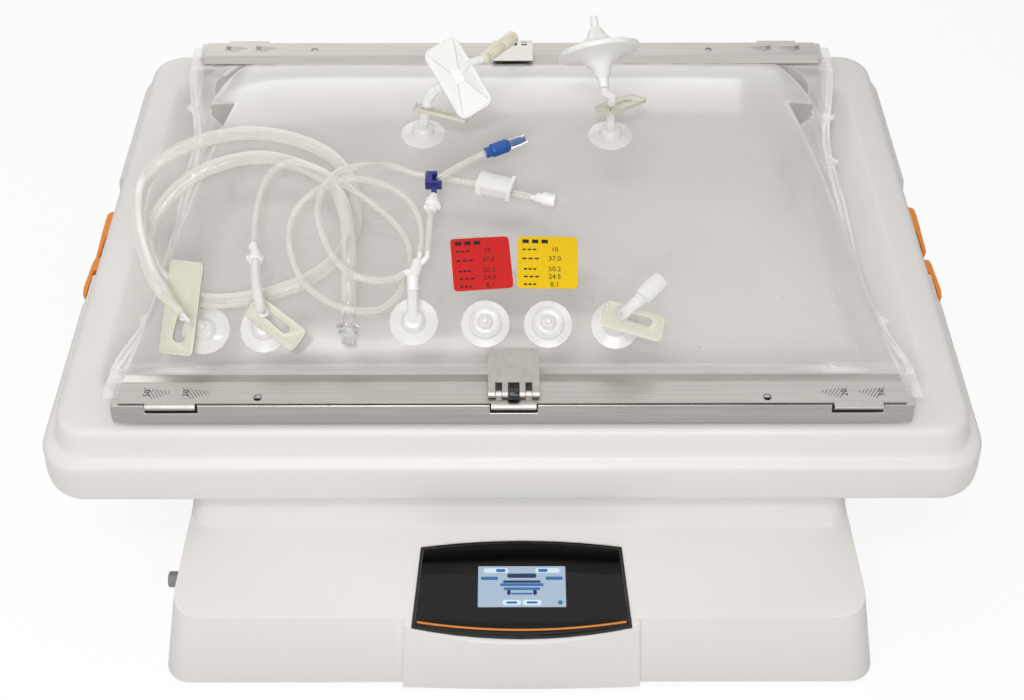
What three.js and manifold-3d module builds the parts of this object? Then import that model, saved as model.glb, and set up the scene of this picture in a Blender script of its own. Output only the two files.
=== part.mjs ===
// Bench rocking bioreactor. A white base with a touch panel carries a shaft, and on the shaft rocks a
// tray with a clear culture bag, clamped front and rear, with its ports, tubing and fittings.
// Millimetres, +Z up, +X to the user's right, -Y towards the user. The origin is on the floor, below
// the middle of the whole object. Distances along the tray are given in the tray's own frame.
import * as THREE from "three";
import { mergeVertices } from "three/addons/utils/BufferGeometryUtils.js";
import Module from "manifold-3d";

const wasm = await Module();
wasm.setup();

// ---- Driving dimensions -------------------------------------------------------------------------
const DEG = Math.PI / 180;
const GAP = 0.3; // between faces that touch
const RUNNING_GAP = 0.4; // round a piece that turns or slides
const SEAT = GAP + 0.1; // from a tube's end face to the piece that it is pushed on
const FINENESS = 0.05; // facets flatter than this are merged

// Hinge and tray plane
const HINGE_Y = 46.4;
const HINGE_Z = 200;
const REST_TILT = 10; // degrees, front down: the forward end of the stroke
const RAIL_PLANE = 101.5; // rails' top face above the hinge axis, in the tray's frame

// Base housing, measured from below the hinge axis
const BASE_OFFSET_X = 6;
const BASE_BOTTOM = 5;
const BASE_HALF_WIDTH = 315;
const SIDE_DRAFT = 0.225;
const BASE_FRONT = 333;
const BASE_REAR = 227.5;
const FRONT_DRAFT = 0.075;
const REAR_DRAFT = 0.03;
const BASE_CORNER = 24;
const BASE_WALL = 3.5;
const DECK_FRONT_HEIGHT = 89.5;
const DECK_SLOPE = 16.5 * DEG;
const TOWER_FRONT = 255.7;
const TOWER_TOP = 178;
const TOWER_CORNER = 18;
const TOWER_EDGE = 4;
const FOOT_RADIUS = 12;
const FOOT_HEIGHT = 5.2;
const FOOT_INSET_X = 55;
const FOOT_INSET_Y = 55;
const PLATE_THICKNESS = 3;

// Console and panel
const CONSOLE_OFFSET_X = 1.5;
const CONSOLE_HALF_WIDTH = 104.5;
const CONSOLE_DRAFT = 0.07;
const CONSOLE_FOOT = [337.6, 339.8]; // the front at the floor: at the sides, in the middle
const CONSOLE_LIP = [333, 349]; // the front at the top edge
const PANEL_HALF_TOP = 84.5;
const PANEL_HALF_BOTTOM = 89.5;
const PANEL_TOP = 60;
const PANEL_TOP_ARCH = 6;
const PANEL_BOTTOM = -7;
const PANEL_BOTTOM_ARCH = 9.5;
const BEZEL_WIDTH = 2.5;
const BEZEL_HEIGHT = 1.4;
const GLASS_HEIGHT = 1.5;

// Button and inlet
const BUTTON_RADIUS = 7;
const BUTTON_Y = -279.5;
const BUTTON_Z = 82;
const BUTTON_PROUD = 8;
const BUTTON_TRAVEL = 2;
const INLET_X = -170;
const INLET_Z = 60;
const INLET_HALF = [24, 14];
const INLET_DEPTH = 24;
const SOCKET_HALF = [13.5, 9];
const SOCKET_DEPTH = 14;

// Drive
const SHAFT_RADIUS = 10;
const SHAFT_LENGTH = 464;
const BEARING_X = 205;
const BEARING_HALF = 16;
const MODULE = 2;
const SECTOR_TEETH = 72; // on the full circle
const SECTOR_HALF_TEETH = 5; // teeth each side of the middle one
const PINION_TEETH = 12;
const GEAR_WIDTH = 10;
const GEAR_BACKLASH = 0.3;
const MOTOR_RADIUS = 30;
const MOTOR_LENGTH = 96;
const MOTOR_SHAFT_RADIUS = 4;
const CHEEK_X = 150;
const CHEEK_WIDTH = 10;
const CRADLE_HALF = [230, 150];
const CRADLE_PLATE = 6;

// Tray
const TRAY_TOP = -22; // rim's top face
const TRAY_HALF_TOP = [374, 243.5];
const TRAY_HALF_FOOT = [380, 250];
const LEDGE = -50;
const SKIRT_HALF_TOP = [391, 258];
const SKIRT_HALF_BOTTOM = [399, 262];
const SKIRT_BOTTOM = -94;
const TRAY_WALL = 4;
const BED = -38;
const BED_HALF_TOP = [345, 205];
const BED_HALF_BOTTOM = [322, 202];
const NOTCH_WALL = 381;
const NOTCH = [-45, 87];
const POCKET_WALL = 388.6;
const POCKET_END = -78;
const POCKET_DEPTH = -71;

// Rails, clamp bars and latches; "out" is the distance from the tray's middle line
const RAIL_LENGTH = 640;
const RAIL_OUT = 233.5;
const RAIL_IN = 210;
const RAIL_LIP = [238, -15];
const BAR_LENGTH = 628;
const BAR_IN = 211;
const BAR_STRIP = 10;
const BAR_STRIP_ANGLE = 17 * DEG;
const BAR_LIFT = 0.7;
const BAR_HINGE = [234.2, -0.4];
const TONGUE_RADIUS = 2.6;
const TONGUES = [
  [-272, 40],
  [1, 36],
  [275, 39],
];
const LOCATING_HOLE_X = 203;
const LOCATING_HOLE_RADIUS = 3.5;
const LATCH_X = 1;
const LATCH_PIN = [226, 5.6];
const LATCH_PIN_RADIUS = 1.3;
const LATCH_CURL_RADIUS = 2.9;
const LATCH_HALF_WIDTH = 20.4;
const LATCH_FINGERS = [
  [-20.4, -14.8],
  [-9.2, -4.6],
  [4.6, 9.2],
  [14.8, 20.4],
];
const LATCH_KNUCKLES = [
  [-14.4, -9.6],
  [9.6, 14.4],
];
const LATCH_ROOT = 217.5;
const LATCH_END = [186.5, 14.4];
const LATCH_SHEET = 1;
const ROLLER_RADIUS = 4.9;
const ROLLER_HALF_WIDTH = 4;

// Side latches
const SIDE_LATCH_TOP = -50.6;
const SIDE_LATCH_BOTTOM = -66;

// Bag
const BAG_HALF = [315, 200.6];
const BAG_RISE = 50;
const BAG_POWER_ACROSS = 3;
const BAG_POWER_ALONG = 8;

// Tubes
const HOSE_RADIUS = 8;
const LINE_RADIUS = 3.2;
const STUB_RADIUS = 4.75;

// ---- Materials ----------------------------------------------------------------------------------
function material(color, roughness, metalness = 0) {
  return new THREE.MeshStandardMaterial({ color, roughness, metalness });
}
const whitePaint = material(0xe4e0dc, 0.45);
const blackGloss = material(0x141312, 0.08);
const satinSilver = material(0xa9a7a3, 0.35, 0.9);
const brushedSteel = material(0xb4b0aa, 0.35, 1);
const castAluminium = material(0xa8aaad, 0.5, 0.9);
const darkRubber = material(0x1d1d1e, 0.8);
const greyPlastic = material(0x8f8f8d, 0.5);
const greenBoard = material(0x2b5b3a, 0.6);
const orangePlastic = material(0xf08a1e, 0.4);
const clearFilm = material(0xdedad6, 0.2);
const clearTube = material(0xe9e6cf, 0.2);
const naturalPlastic = material(0xf2f1e6, 0.4);
const creamPlastic = material(0xf0eedd, 0.45);
const clearPlastic = material(0xdcdad4, 0.1);
const bluePlastic = material(0x1f6fb4, 0.35);
const navyPlastic = material(0x27247e, 0.35);

// ---- Shape functions ----------------------------------------------------------------------------
// A closed geometry as a solid, whichever way its faces were wound.
function solid(geometry) {
  const bare = new THREE.BufferGeometry();
  const source = geometry.index ? geometry.toNonIndexed() : geometry;
  bare.setAttribute("position", source.getAttribute("position").clone());
  const merged = mergeVertices(bare, 1e-4);
  const index = merged.index.array;
  const kept = [];
  for (let i = 0; i < index.length; i += 3) {
    const [a, b, c] = [index[i], index[i + 1], index[i + 2]];
    if (a !== b && b !== c && c !== a) kept.push(a, b, c);
  }
  const build = (triVerts) =>
    new wasm.Manifold(
      new wasm.Mesh({
        numProp: 3,
        vertProperties: merged.attributes.position.array,
        triVerts: new Uint32Array(triVerts),
      }),
    );
  const made = build(kept);
  return made.volume() > 0 ? made : build(kept.reverse());
}

function geometryOf(shape) {
  const m = shape.getMesh();
  const positions = new Float32Array(m.numVert * 3);
  for (let i = 0; i < m.numVert; i++) {
    positions.set(m.vertProperties.subarray(i * m.numProp, i * m.numProp + 3), i * 3);
  }
  const geometry = new THREE.BufferGeometry();
  geometry.setAttribute("position", new THREE.BufferAttribute(positions, 3));
  geometry.setIndex(new THREE.BufferAttribute(m.triVerts.slice(), 1));
  geometry.computeVertexNormals();
  return geometry;
}

function place(name, shape, finish, parent) {
  const mesh = new THREE.Mesh(geometryOf(shape.simplify(FINENESS)), finish);
  mesh.name = name;
  parent.add(mesh);
  return mesh;
}

function join(...shapes) {
  return shapes.reduce((a, b) => a.add(b));
}

function cut(shape, ...tools) {
  return tools.reduce((a, b) => a.subtract(b), shape);
}

// A box from its two limits on each axis.
function block(x, y, z) {
  const geometry = new THREE.BoxGeometry(x[1] - x[0], y[1] - y[0], z[1] - z[0]);
  geometry.translate((x[0] + x[1]) / 2, (y[0] + y[1]) / 2, (z[0] + z[1]) / 2);
  return solid(geometry);
}

// A cylinder between two points.
function rod(from, to, radius, sides = 16) {
  const a = new THREE.Vector3(...from);
  const b = new THREE.Vector3(...to);
  const geometry = new THREE.CylinderGeometry(radius, radius, a.distanceTo(b), sides);
  geometry.rotateX(90 * DEG);
  geometry.lookAt(b.clone().sub(a));
  const middle = a.clone().add(b).multiplyScalar(0.5);
  geometry.translate(middle.x, middle.y, middle.z);
  return solid(geometry);
}

// A round piece from its profile of [radius, height] points, turned about Z, first and last on the axis.
function turned(profile, sides = 16) {
  const geometry = new THREE.LatheGeometry(
    profile.map(([r, h]) => new THREE.Vector2(r, h)),
    sides,
  );
  geometry.rotateX(90 * DEG);
  return geometry;
}

// An outline of [a, b] points swept along X, with a along Y and b along Z.
function sweptX(outline, from, to) {
  const shape = new THREE.Shape(outline.map(([a, b]) => new THREE.Vector2(a, b)));
  const geometry = new THREE.ExtrudeGeometry(shape, { depth: to - from, bevelEnabled: false });
  const turn = new THREE.Matrix4().makeBasis(
    new THREE.Vector3(0, 1, 0),
    new THREE.Vector3(0, 0, 1),
    new THREE.Vector3(1, 0, 0),
  );
  geometry.applyMatrix4(turn);
  geometry.translate(from, 0, 0);
  return solid(geometry);
}

// An outline in X and Y swept up from one height to another.
function sweptZ(shape, from, to, curveSegments = 10) {
  const geometry = new THREE.ExtrudeGeometry(shape, {
    depth: to - from,
    bevelEnabled: false,
    curveSegments,
  });
  geometry.translate(0, 0, from);
  return solid(geometry);
}

// A rounded rectangle at one height, as a ring of points.
function ring([halfX, halfY], radius, z, centreY = 0, steps = 6) {
  const points = [];
  for (let corner = 0; corner < 4; corner++) {
    const sx = corner === 0 || corner === 3 ? 1 : -1;
    const sy = corner < 2 ? 1 : -1;
    for (let i = 0; i <= steps; i++) {
      const angle = (corner + i / steps) * 90 * DEG;
      points.push([
        sx * (halfX - radius) + radius * Math.cos(angle),
        centreY + sy * (halfY - radius) + radius * Math.sin(angle),
        z,
      ]);
    }
  }
  return points;
}

// A solid through rings of equal count, closed by a flat face at each end.
function loft(rings) {
  const count = rings[0].length;
  const positions = rings.flat(2);
  const index = [];
  for (let r = 0; r < rings.length - 1; r++) {
    for (let i = 0; i < count; i++) {
      const a = r * count + i;
      const b = r * count + ((i + 1) % count);
      index.push(a, b, b + count, a, b + count, a + count);
    }
  }
  const last = (rings.length - 1) * count;
  for (let i = 1; i < count - 1; i++) {
    index.push(0, i + 1, i);
    index.push(last, last + i, last + i + 1);
  }
  const geometry = new THREE.BufferGeometry();
  geometry.setAttribute("position", new THREE.Float32BufferAttribute(positions, 3));
  geometry.setIndex(index);
  return solid(geometry);
}

// A round tube along a smooth curve through points.
function pipe(points, radius, sides = 10, steps = 24) {
  const curve = new THREE.CatmullRomCurve3(points.map((p) => new THREE.Vector3(...p)));
  const section = new THREE.Shape();
  for (let i = 0; i < sides; i++) {
    const angle = (i / sides) * 360 * DEG;
    const [x, y] = [radius * Math.cos(angle), radius * Math.sin(angle)];
    if (i === 0) section.moveTo(x, y);
    else section.lineTo(x, y);
  }
  return solid(new THREE.ExtrudeGeometry(section, { steps, extrudePath: curve }));
}

// Puts a geometry made about the origin, with its axis along Z, at a point with another axis.
function stood(geometry, point, axis) {
  const turn = new THREE.Quaternion().setFromUnitVectors(
    new THREE.Vector3(0, 0, 1),
    new THREE.Vector3(...axis).normalize(),
  );
  const made = geometry.clone();
  made.applyQuaternion(turn);
  made.translate(...point);
  return solid(made);
}

// ---- Groups -------------------------------------------------------------------------------------
const bioreactor = new THREE.Group();

const base = new THREE.Group(); // its origin is on the floor below the hinge axis
base.position.set(0, HINGE_Y, 0);
bioreactor.add(base);

const housing = new THREE.Group();
housing.position.x = BASE_OFFSET_X;
base.add(housing);

const rocker = new THREE.Group(); // its origin is on the hinge axis
rocker.position.set(0, HINGE_Y, HINGE_Z);
rocker.rotation.x = REST_TILT * DEG;
bioreactor.add(rocker);

const tray = new THREE.Group(); // its origin is at the middle of the rails' top plane
tray.position.z = RAIL_PLANE;
rocker.add(tray);

// ---- Base housing -------------------------------------------------------------------------------
// The plan outline of the housing at a height, drawn in by an inset.
function basePlan(z, front, corner, inset) {
  const rear = BASE_REAR - REAR_DRAFT * z - inset;
  const near = front - FRONT_DRAFT * z - inset;
  const halfX = BASE_HALF_WIDTH - SIDE_DRAFT * z - inset;
  return ring([halfX, (rear + near) / 2], Math.max(corner - inset, 2), z, (rear - near) / 2);
}

// The space above the sloping deck.
function aboveDeck(inset) {
  const geometry = new THREE.BoxGeometry(900, 500, 200);
  geometry.translate(0, 50, 100 - inset);
  geometry.rotateX(DECK_SLOPE);
  geometry.translate(0, DECK_FRONT_Y, DECK_FRONT_HEIGHT);
  return solid(geometry);
}

const DECK_FRONT_Y = -(BASE_FRONT - FRONT_DRAFT * DECK_FRONT_HEIGHT);
const DECK_BACK_HEIGHT = DECK_FRONT_HEIGHT - (DECK_FRONT_Y + TOWER_FRONT - 8) * Math.tan(DECK_SLOPE);

// The console's plan at a height: straight sides and back, and a front that bows forwards.
function consolePlan(z, inset) {
  const rise = (z - BASE_BOTTOM) / (DECK_FRONT_HEIGHT - BASE_BOTTOM);
  const half = CONSOLE_HALF_WIDTH - CONSOLE_DRAFT * z - inset;
  const side = CONSOLE_FOOT[0] + (CONSOLE_LIP[0] - CONSOLE_FOOT[0]) * rise;
  const middle = CONSOLE_FOOT[1] + (CONSOLE_LIP[1] - CONSOLE_FOOT[1]) * rise;
  const points = [];
  const steps = 12;
  for (let i = 0; i <= steps; i++) {
    const across = (2 * i) / steps - 1;
    const front = side + (middle - side) * (1 - across * across);
    points.push([CONSOLE_OFFSET_X + across * half, inset - front, z]);
  }
  points.push([CONSOLE_OFFSET_X + half, 40 - BASE_FRONT, z]);
  points.push([CONSOLE_OFFSET_X - half, 40 - BASE_FRONT, z]);
  return points;
}

function housingSolid(inset, bottom) {
  const low = loft([
    basePlan(bottom, BASE_FRONT, BASE_CORNER, inset),
    basePlan(DECK_BACK_HEIGHT + 10, BASE_FRONT, BASE_CORNER, inset),
  ]);
  const console = loft([
    consolePlan(bottom, inset),
    consolePlan(DECK_FRONT_HEIGHT + 20, inset),
  ]);
  const tower = loft([
    basePlan(bottom, TOWER_FRONT, TOWER_CORNER, inset),
    basePlan(TOWER_TOP - TOWER_EDGE - inset, TOWER_FRONT, TOWER_CORNER, inset),
    basePlan(TOWER_TOP - inset, TOWER_FRONT, TOWER_CORNER, inset + TOWER_EDGE),
  ]);
  return join(cut(join(low, console), aboveDeck(inset)), tower);
}

const shellBody = cut(
  housingSolid(0, BASE_BOTTOM),
  housingSolid(BASE_WALL, BASE_BOTTOM - 1),
);
const GEAR_SLOT_HALF = [9, 30]; // across, and fore and aft
const buttonWall = -(BASE_HALF_WIDTH - SIDE_DRAFT * BUTTON_Z);
const rearWall = BASE_REAR - REAR_DRAFT * INLET_Z;
const slotX = [-GEAR_SLOT_HALF[0] - BASE_OFFSET_X, GEAR_SLOT_HALF[0] - BASE_OFFSET_X];
const baseShell = cut(
  shellBody,
  block(slotX, [-GEAR_SLOT_HALF[1], GEAR_SLOT_HALF[1]], [TOWER_TOP - 30, TOWER_TOP + 5]),
  rod(
    [buttonWall - 20, BUTTON_Y, BUTTON_Z],
    [buttonWall + 20, BUTTON_Y, BUTTON_Z],
    BUTTON_RADIUS + RUNNING_GAP,
  ),
  block(
    [INLET_X - INLET_HALF[0] + 2 - GAP, INLET_X + INLET_HALF[0] - 2 + GAP],
    [rearWall - 10, rearWall + 10],
    [INLET_Z - INLET_HALF[1] + 2 - GAP, INLET_Z + INLET_HALF[1] - 2 + GAP],
  ),
);
place("base_shell", baseShell, whitePaint, housing);

const plateBottom = FOOT_HEIGHT + GAP;
const plateTop = plateBottom + PLATE_THICKNESS;
const plateInset = BASE_WALL + GAP + 0.4;
place(
  "base_plate",
  loft([
    basePlan(plateBottom, BASE_FRONT, BASE_CORNER, plateInset),
    basePlan(plateTop, BASE_FRONT, BASE_CORNER, plateInset),
  ]),
  satinSilver,
  housing,
);

for (const [side, sx] of [["left", -1], ["right", 1]]) {
  for (const [end, y] of [["front", FOOT_INSET_Y - BASE_FRONT], ["rear", BASE_REAR - FOOT_INSET_Y]]) {
    const x = sx * (BASE_HALF_WIDTH - FOOT_INSET_X);
    place(`foot_${end}_${side}`, rod([x, y, 0], [x, y, FOOT_HEIGHT], FOOT_RADIUS), darkRubber, housing);
  }
}

// ---- Panel --------------------------------------------------------------------------------------
const deck = new THREE.Group(); // its origin is on the deck's front edge, Z square to the deck
deck.position.set(CONSOLE_OFFSET_X, DECK_FRONT_Y, DECK_FRONT_HEIGHT);
deck.rotation.x = DECK_SLOPE;
housing.add(deck);

// The panel's outline, grown all round: straight leaning sides, and top and bottom edges that bow out.
function panelOutline(grow) {
  const points = [];
  const steps = 10;
  const slant = (PANEL_HALF_BOTTOM - PANEL_HALF_TOP) / (PANEL_TOP - PANEL_BOTTOM);
  const bottomHalf = PANEL_HALF_BOTTOM + grow + slant * grow;
  const topHalf = PANEL_HALF_TOP + grow - slant * grow;
  for (let i = 0; i <= steps; i++) {
    const across = (2 * i) / steps - 1;
    const dip = PANEL_BOTTOM_ARCH * (1 - across * across);
    points.push(new THREE.Vector2(across * bottomHalf, PANEL_BOTTOM - grow - dip));
  }
  for (let i = 0; i <= steps; i++) {
    const across = 1 - (2 * i) / steps;
    const rise = PANEL_TOP_ARCH * (1 - across * across);
    points.push(new THREE.Vector2(across * topHalf, PANEL_TOP + grow + rise));
  }
  return new THREE.Shape(points);
}

const bezelTop = GAP + BEZEL_HEIGHT;
place(
  "panel_bezel",
  cut(
    sweptZ(panelOutline(BEZEL_WIDTH), GAP, bezelTop),
    sweptZ(panelOutline(GAP), 0, bezelTop + 1),
  ),
  blackGloss,
  deck,
);
place("panel_glass", sweptZ(panelOutline(0), GAP, GAP + GLASS_HEIGHT), blackGloss, deck);

// ---- Button and inlet ---------------------------------------------------------------------------
const buttonFlange = buttonWall + BASE_WALL + SIDE_DRAFT * (BUTTON_RADIUS + 2) + GAP + 0.4;
place(
  "power_button",
  join(
    rod([buttonWall - BUTTON_PROUD, BUTTON_Y, BUTTON_Z], [buttonFlange, BUTTON_Y, BUTTON_Z], BUTTON_RADIUS),
    rod([buttonFlange - 0.1, BUTTON_Y, BUTTON_Z], [buttonFlange + 2, BUTTON_Y, BUTTON_Z], BUTTON_RADIUS + 2),
  ),
  greyPlastic,
  housing,
);

const [inletX, inletZ] = INLET_HALF;
const flangeY = BASE_REAR - REAR_DRAFT * (INLET_Z - inletZ) + GAP;
const inletBlock = (halfX, halfZ, y) =>
  block([INLET_X - halfX, INLET_X + halfX], y, [INLET_Z - halfZ, INLET_Z + halfZ]);
place(
  "rear_inlet",
  cut(
    join(
      inletBlock(inletX + 2, inletZ + 2, [flangeY, flangeY + 2]),
      inletBlock(inletX - 2, inletZ - 2, [flangeY - INLET_DEPTH, flangeY + 1]),
    ),
    inletBlock(SOCKET_HALF[0], SOCKET_HALF[1], [flangeY + 2 - SOCKET_DEPTH, flangeY + 5]),
  ),
  blackGloss,
  housing,
);

// ---- Drive --------------------------------------------------------------------------------------
const blockBottom = TOWER_TOP + GAP;
for (const [side, sx] of [["left", -1], ["right", 1]]) {
  const x = [sx * BEARING_X - BEARING_HALF, sx * BEARING_X + BEARING_HALF];
  place(
    `bearing_block_${side}`,
    cut(
      join(
        block(x, [-30, 30], [blockBottom, blockBottom + 8]),
        block(x, [-18, 18], [blockBottom + 7, HINGE_Z]),
        rod([x[0], 0, HINGE_Z], [x[1], 0, HINGE_Z], 18),
      ),
      rod([x[0] - 1, 0, HINGE_Z], [x[1] + 1, 0, HINGE_Z], SHAFT_RADIUS + RUNNING_GAP),
    ),
    castAluminium,
    base,
  );
}

const pitchRadius = (MODULE * SECTOR_TEETH) / 2;
const pinionPitch = (MODULE * PINION_TEETH) / 2;
const motorZ = HINGE_Z - pitchRadius - pinionPitch - GEAR_BACKLASH;
const ADDENDUM = 0.9 * MODULE;
const DEDENDUM = 1.25 * MODULE;

// One gear tooth's half widths at its root, pitch line and tip.
const SECTOR_TOOTH = [2.24, 1.4, 0.745];
const PINION_TOOTH = [1.7, 1.35, 0.6];

// A gear outline in Y and Z from its teeth's angles; the outline goes on round from the last tooth.
function gearOutline(pitch, halfWidths, angles) {
  const radii = [pitch - DEDENDUM, pitch, pitch + ADDENDUM];
  const points = [];
  const at = (angle, along, out) => {
    const [c, s] = [Math.cos(angle), Math.sin(angle)];
    points.push([c * out - s * along, s * out + c * along]);
  };
  for (const angle of angles) {
    for (let i = 0; i < 3; i++) at(angle, -halfWidths[i], radii[i]);
    for (let i = 2; i >= 0; i--) at(angle, halfWidths[i], radii[i]);
  }
  return points;
}

const toothStep = (360 / SECTOR_TEETH) * DEG;
const sectorAngles = [];
for (let i = -SECTOR_HALF_TEETH; i <= SECTOR_HALF_TEETH; i++) sectorAngles.push(-90 * DEG + i * toothStep);
const sectorEnd = (SECTOR_HALF_TEETH + 1) * toothStep;
const rootRadius = pitchRadius - DEDENDUM;
const sectorOutline = [
  ...gearOutline(pitchRadius, SECTOR_TOOTH, sectorAngles),
  [Math.sin(sectorEnd) * rootRadius, -Math.cos(sectorEnd) * rootRadius],
  [12, -2],
  [-12, -2],
  [-Math.sin(sectorEnd) * rootRadius, -Math.cos(sectorEnd) * rootRadius],
];
const gearHalf = GEAR_WIDTH / 2;
const shaftBore = SHAFT_RADIUS + GAP;
place(
  "sector_gear",
  cut(
    join(sweptX(sectorOutline, -gearHalf, gearHalf), rod([-gearHalf, 0, 0], [gearHalf, 0, 0], 20, 32)),
    rod([-gearHalf - 1, 0, 0], [gearHalf + 1, 0, 0], shaftBore),
  ),
  satinSilver,
  rocker,
);

const pinionAngles = [];
for (let i = 0; i < PINION_TEETH; i++) pinionAngles.push((90 + (i + 0.5) * (360 / PINION_TEETH)) * DEG);
const motorStart = 14;
const pinion = join(
  sweptX(gearOutline(pinionPitch, PINION_TOOTH, pinionAngles), -gearHalf - 1, gearHalf + 1),
  rod([gearHalf, 0, 0], [motorStart + 12, 0, 0], MOTOR_SHAFT_RADIUS, 16),
).translate([0, 0, motorZ]);
place("motor_pinion", pinion, satinSilver, base);

const motorEnd = motorStart + MOTOR_LENGTH;
place(
  "drive_motor",
  cut(
    join(
      rod([motorStart, 0, motorZ], [motorEnd, 0, motorZ], MOTOR_RADIUS, 28),
      block([motorStart, motorStart + 8], [-34, 34], [plateTop + GAP, motorZ]),
      block([motorEnd - 8, motorEnd], [-34, 34], [plateTop + GAP, motorZ]),
      block([motorStart, motorEnd], [-34, 34], [plateTop + GAP, plateTop + GAP + 6]),
    ),
    rod([motorStart - 1, 0, motorZ], [motorStart + 13, 0, motorZ], MOTOR_SHAFT_RADIUS + RUNNING_GAP, 16),
  ),
  castAluminium,
  base,
);

const boardBottom = plateTop + GAP;
place(
  "control_board",
  join(
    block([-130, 30], [-200, -100], [boardBottom + 8, boardBottom + 10]),
    ...[[-125, -195], [25, -195], [-125, -105], [25, -105]].map(([x, y]) =>
      rod([x, y, boardBottom], [x, y, boardBottom + 8.5], 3, 10),
    ),
    block([-90, -60], [-170, -140], [boardBottom + 9, boardBottom + 14]),
    block([-30, 10], [-190, -150], [boardBottom + 9, boardBottom + 22]),
  ),
  greenBoard,
  base,
);

// ---- Rocker: shaft, cradle ----------------------------------------------------------------------
const shaftHalf = SHAFT_LENGTH / 2;
place("rocker_shaft", rod([-shaftHalf, 0, 0], [shaftHalf, 0, 0], SHAFT_RADIUS), satinSilver, rocker);

const bedBottom = BED - TRAY_WALL;
const heaterTop = bedBottom - GAP;
const HEATER_THICKNESS = 3.7;
const cradleTop = heaterTop - HEATER_THICKNESS - GAP;
const cradleBottom = cradleTop - CRADLE_PLATE;
const cheeks = [];
for (const sx of [-1, 1]) {
  const x = [sx * CHEEK_X - CHEEK_WIDTH / 2, sx * CHEEK_X + CHEEK_WIDTH / 2];
  const side = [
    [-70, cradleBottom + 1],
    [-16, -RAIL_PLANE],
    [16, -RAIL_PLANE],
    [70, cradleBottom + 1],
  ];
  cheeks.push(sweptX(side, x[0], x[1]));
  cheeks.push(rod([x[0], 0, -RAIL_PLANE], [x[1], 0, -RAIL_PLANE], 16));
}
place(
  "cradle",
  cut(
    join(
      block([-CRADLE_HALF[0], CRADLE_HALF[0]], [-CRADLE_HALF[1], CRADLE_HALF[1]], [cradleBottom, cradleTop]),
      ...cheeks,
    ),
    rod([-CHEEK_X - 20, 0, -RAIL_PLANE], [CHEEK_X + 20, 0, -RAIL_PLANE], shaftBore),
  ),
  castAluminium,
  tray,
);
place(
  "heater_plate",
  block([-260, 260], [-150, 150], [heaterTop - HEATER_THICKNESS, heaterTop]),
  darkRubber,
  tray,
);

// ---- Tray shell ---------------------------------------------------------------------------------
const edge = TRAY_WALL;
const trayOuter = loft([
  ring(SKIRT_HALF_BOTTOM, 42, SKIRT_BOTTOM),
  ring([SKIRT_HALF_TOP[0] + 1, SKIRT_HALF_TOP[1] + 0.5], 36, LEDGE - 3),
  ring([SKIRT_HALF_TOP[0] - 2, SKIRT_HALF_TOP[1] - 2], 34, LEDGE - 0.8),
  ring([TRAY_HALF_FOOT[0] + 1, TRAY_HALF_FOOT[1] + 1], 32, LEDGE - 0.4),
  ring(TRAY_HALF_FOOT, 32, LEDGE),
  ring([TRAY_HALF_TOP[0] + 1, TRAY_HALF_TOP[1] + 1.5], 29, TRAY_TOP - edge),
  ring([TRAY_HALF_TOP[0] - 3, TRAY_HALF_TOP[1] - 2.5], 26, TRAY_TOP),
]);
const cavity = loft([
  ring([SKIRT_HALF_BOTTOM[0] - edge, SKIRT_HALF_BOTTOM[1] - edge], 38, SKIRT_BOTTOM - 0.5),
  ring([SKIRT_HALF_TOP[0] - 3, SKIRT_HALF_TOP[1] - edge], 32, LEDGE - edge - 1),
  ring([TRAY_HALF_FOOT[0] - edge, TRAY_HALF_FOOT[1] - edge], 28, LEDGE - edge),
  ring([TRAY_HALF_TOP[0] - 3, TRAY_HALF_TOP[1] - 2.5], 25, TRAY_TOP - edge),
]);
function bedRings(grow, drop) {
  return loft([
    ring([BED_HALF_BOTTOM[0] + grow, BED_HALF_BOTTOM[1] + grow], 22 + grow, BED - drop),
    ring([BED_HALF_BOTTOM[0] + 8 + grow, BED_HALF_BOTTOM[1] + 1 + grow], 22 + grow, BED + 5 - drop / 2),
    ring([BED_HALF_BOTTOM[0] + 16 + grow, BED_HALF_BOTTOM[1] + 2 + grow], 24 + grow, BED + 11 - drop / 2),
    ring([BED_HALF_TOP[0] + grow, BED_HALF_TOP[1] + grow], 26 + grow, TRAY_TOP + 1 - drop / 2),
  ]);
}
const lined = [];
const opened = [];
for (const sx of [-1, 1]) {
  const span = (a, b) => (sx > 0 ? [a, b] : [-b, -a]);
  const wall = NOTCH_WALL - edge;
  lined.push(block(span(wall, 400), [NOTCH[0] - edge, NOTCH[1] + edge], [SKIRT_BOTTOM, LEDGE - 1]));
  const pocketY = [POCKET_END - edge, NOTCH[0]];
  lined.push(block(span(POCKET_WALL - edge, 400), pocketY, [POCKET_DEPTH - edge, LEDGE - 1]));
  opened.push(block(span(NOTCH_WALL, 410), NOTCH, [SKIRT_BOTTOM - 1, LEDGE + 5]));
  opened.push(block(span(POCKET_WALL, 410), [POCKET_END, NOTCH[0] + 1], [POCKET_DEPTH, LEDGE + 1]));
}
const trayWalls = cut(trayOuter, cut(cavity, bedRings(edge, edge)));
const notchLining = join(...lined).intersect(trayOuter);
const trayShell = cut(join(trayWalls, notchLining), bedRings(0, 0), ...opened);
place("tray_shell", trayShell, whitePaint, tray);

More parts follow.
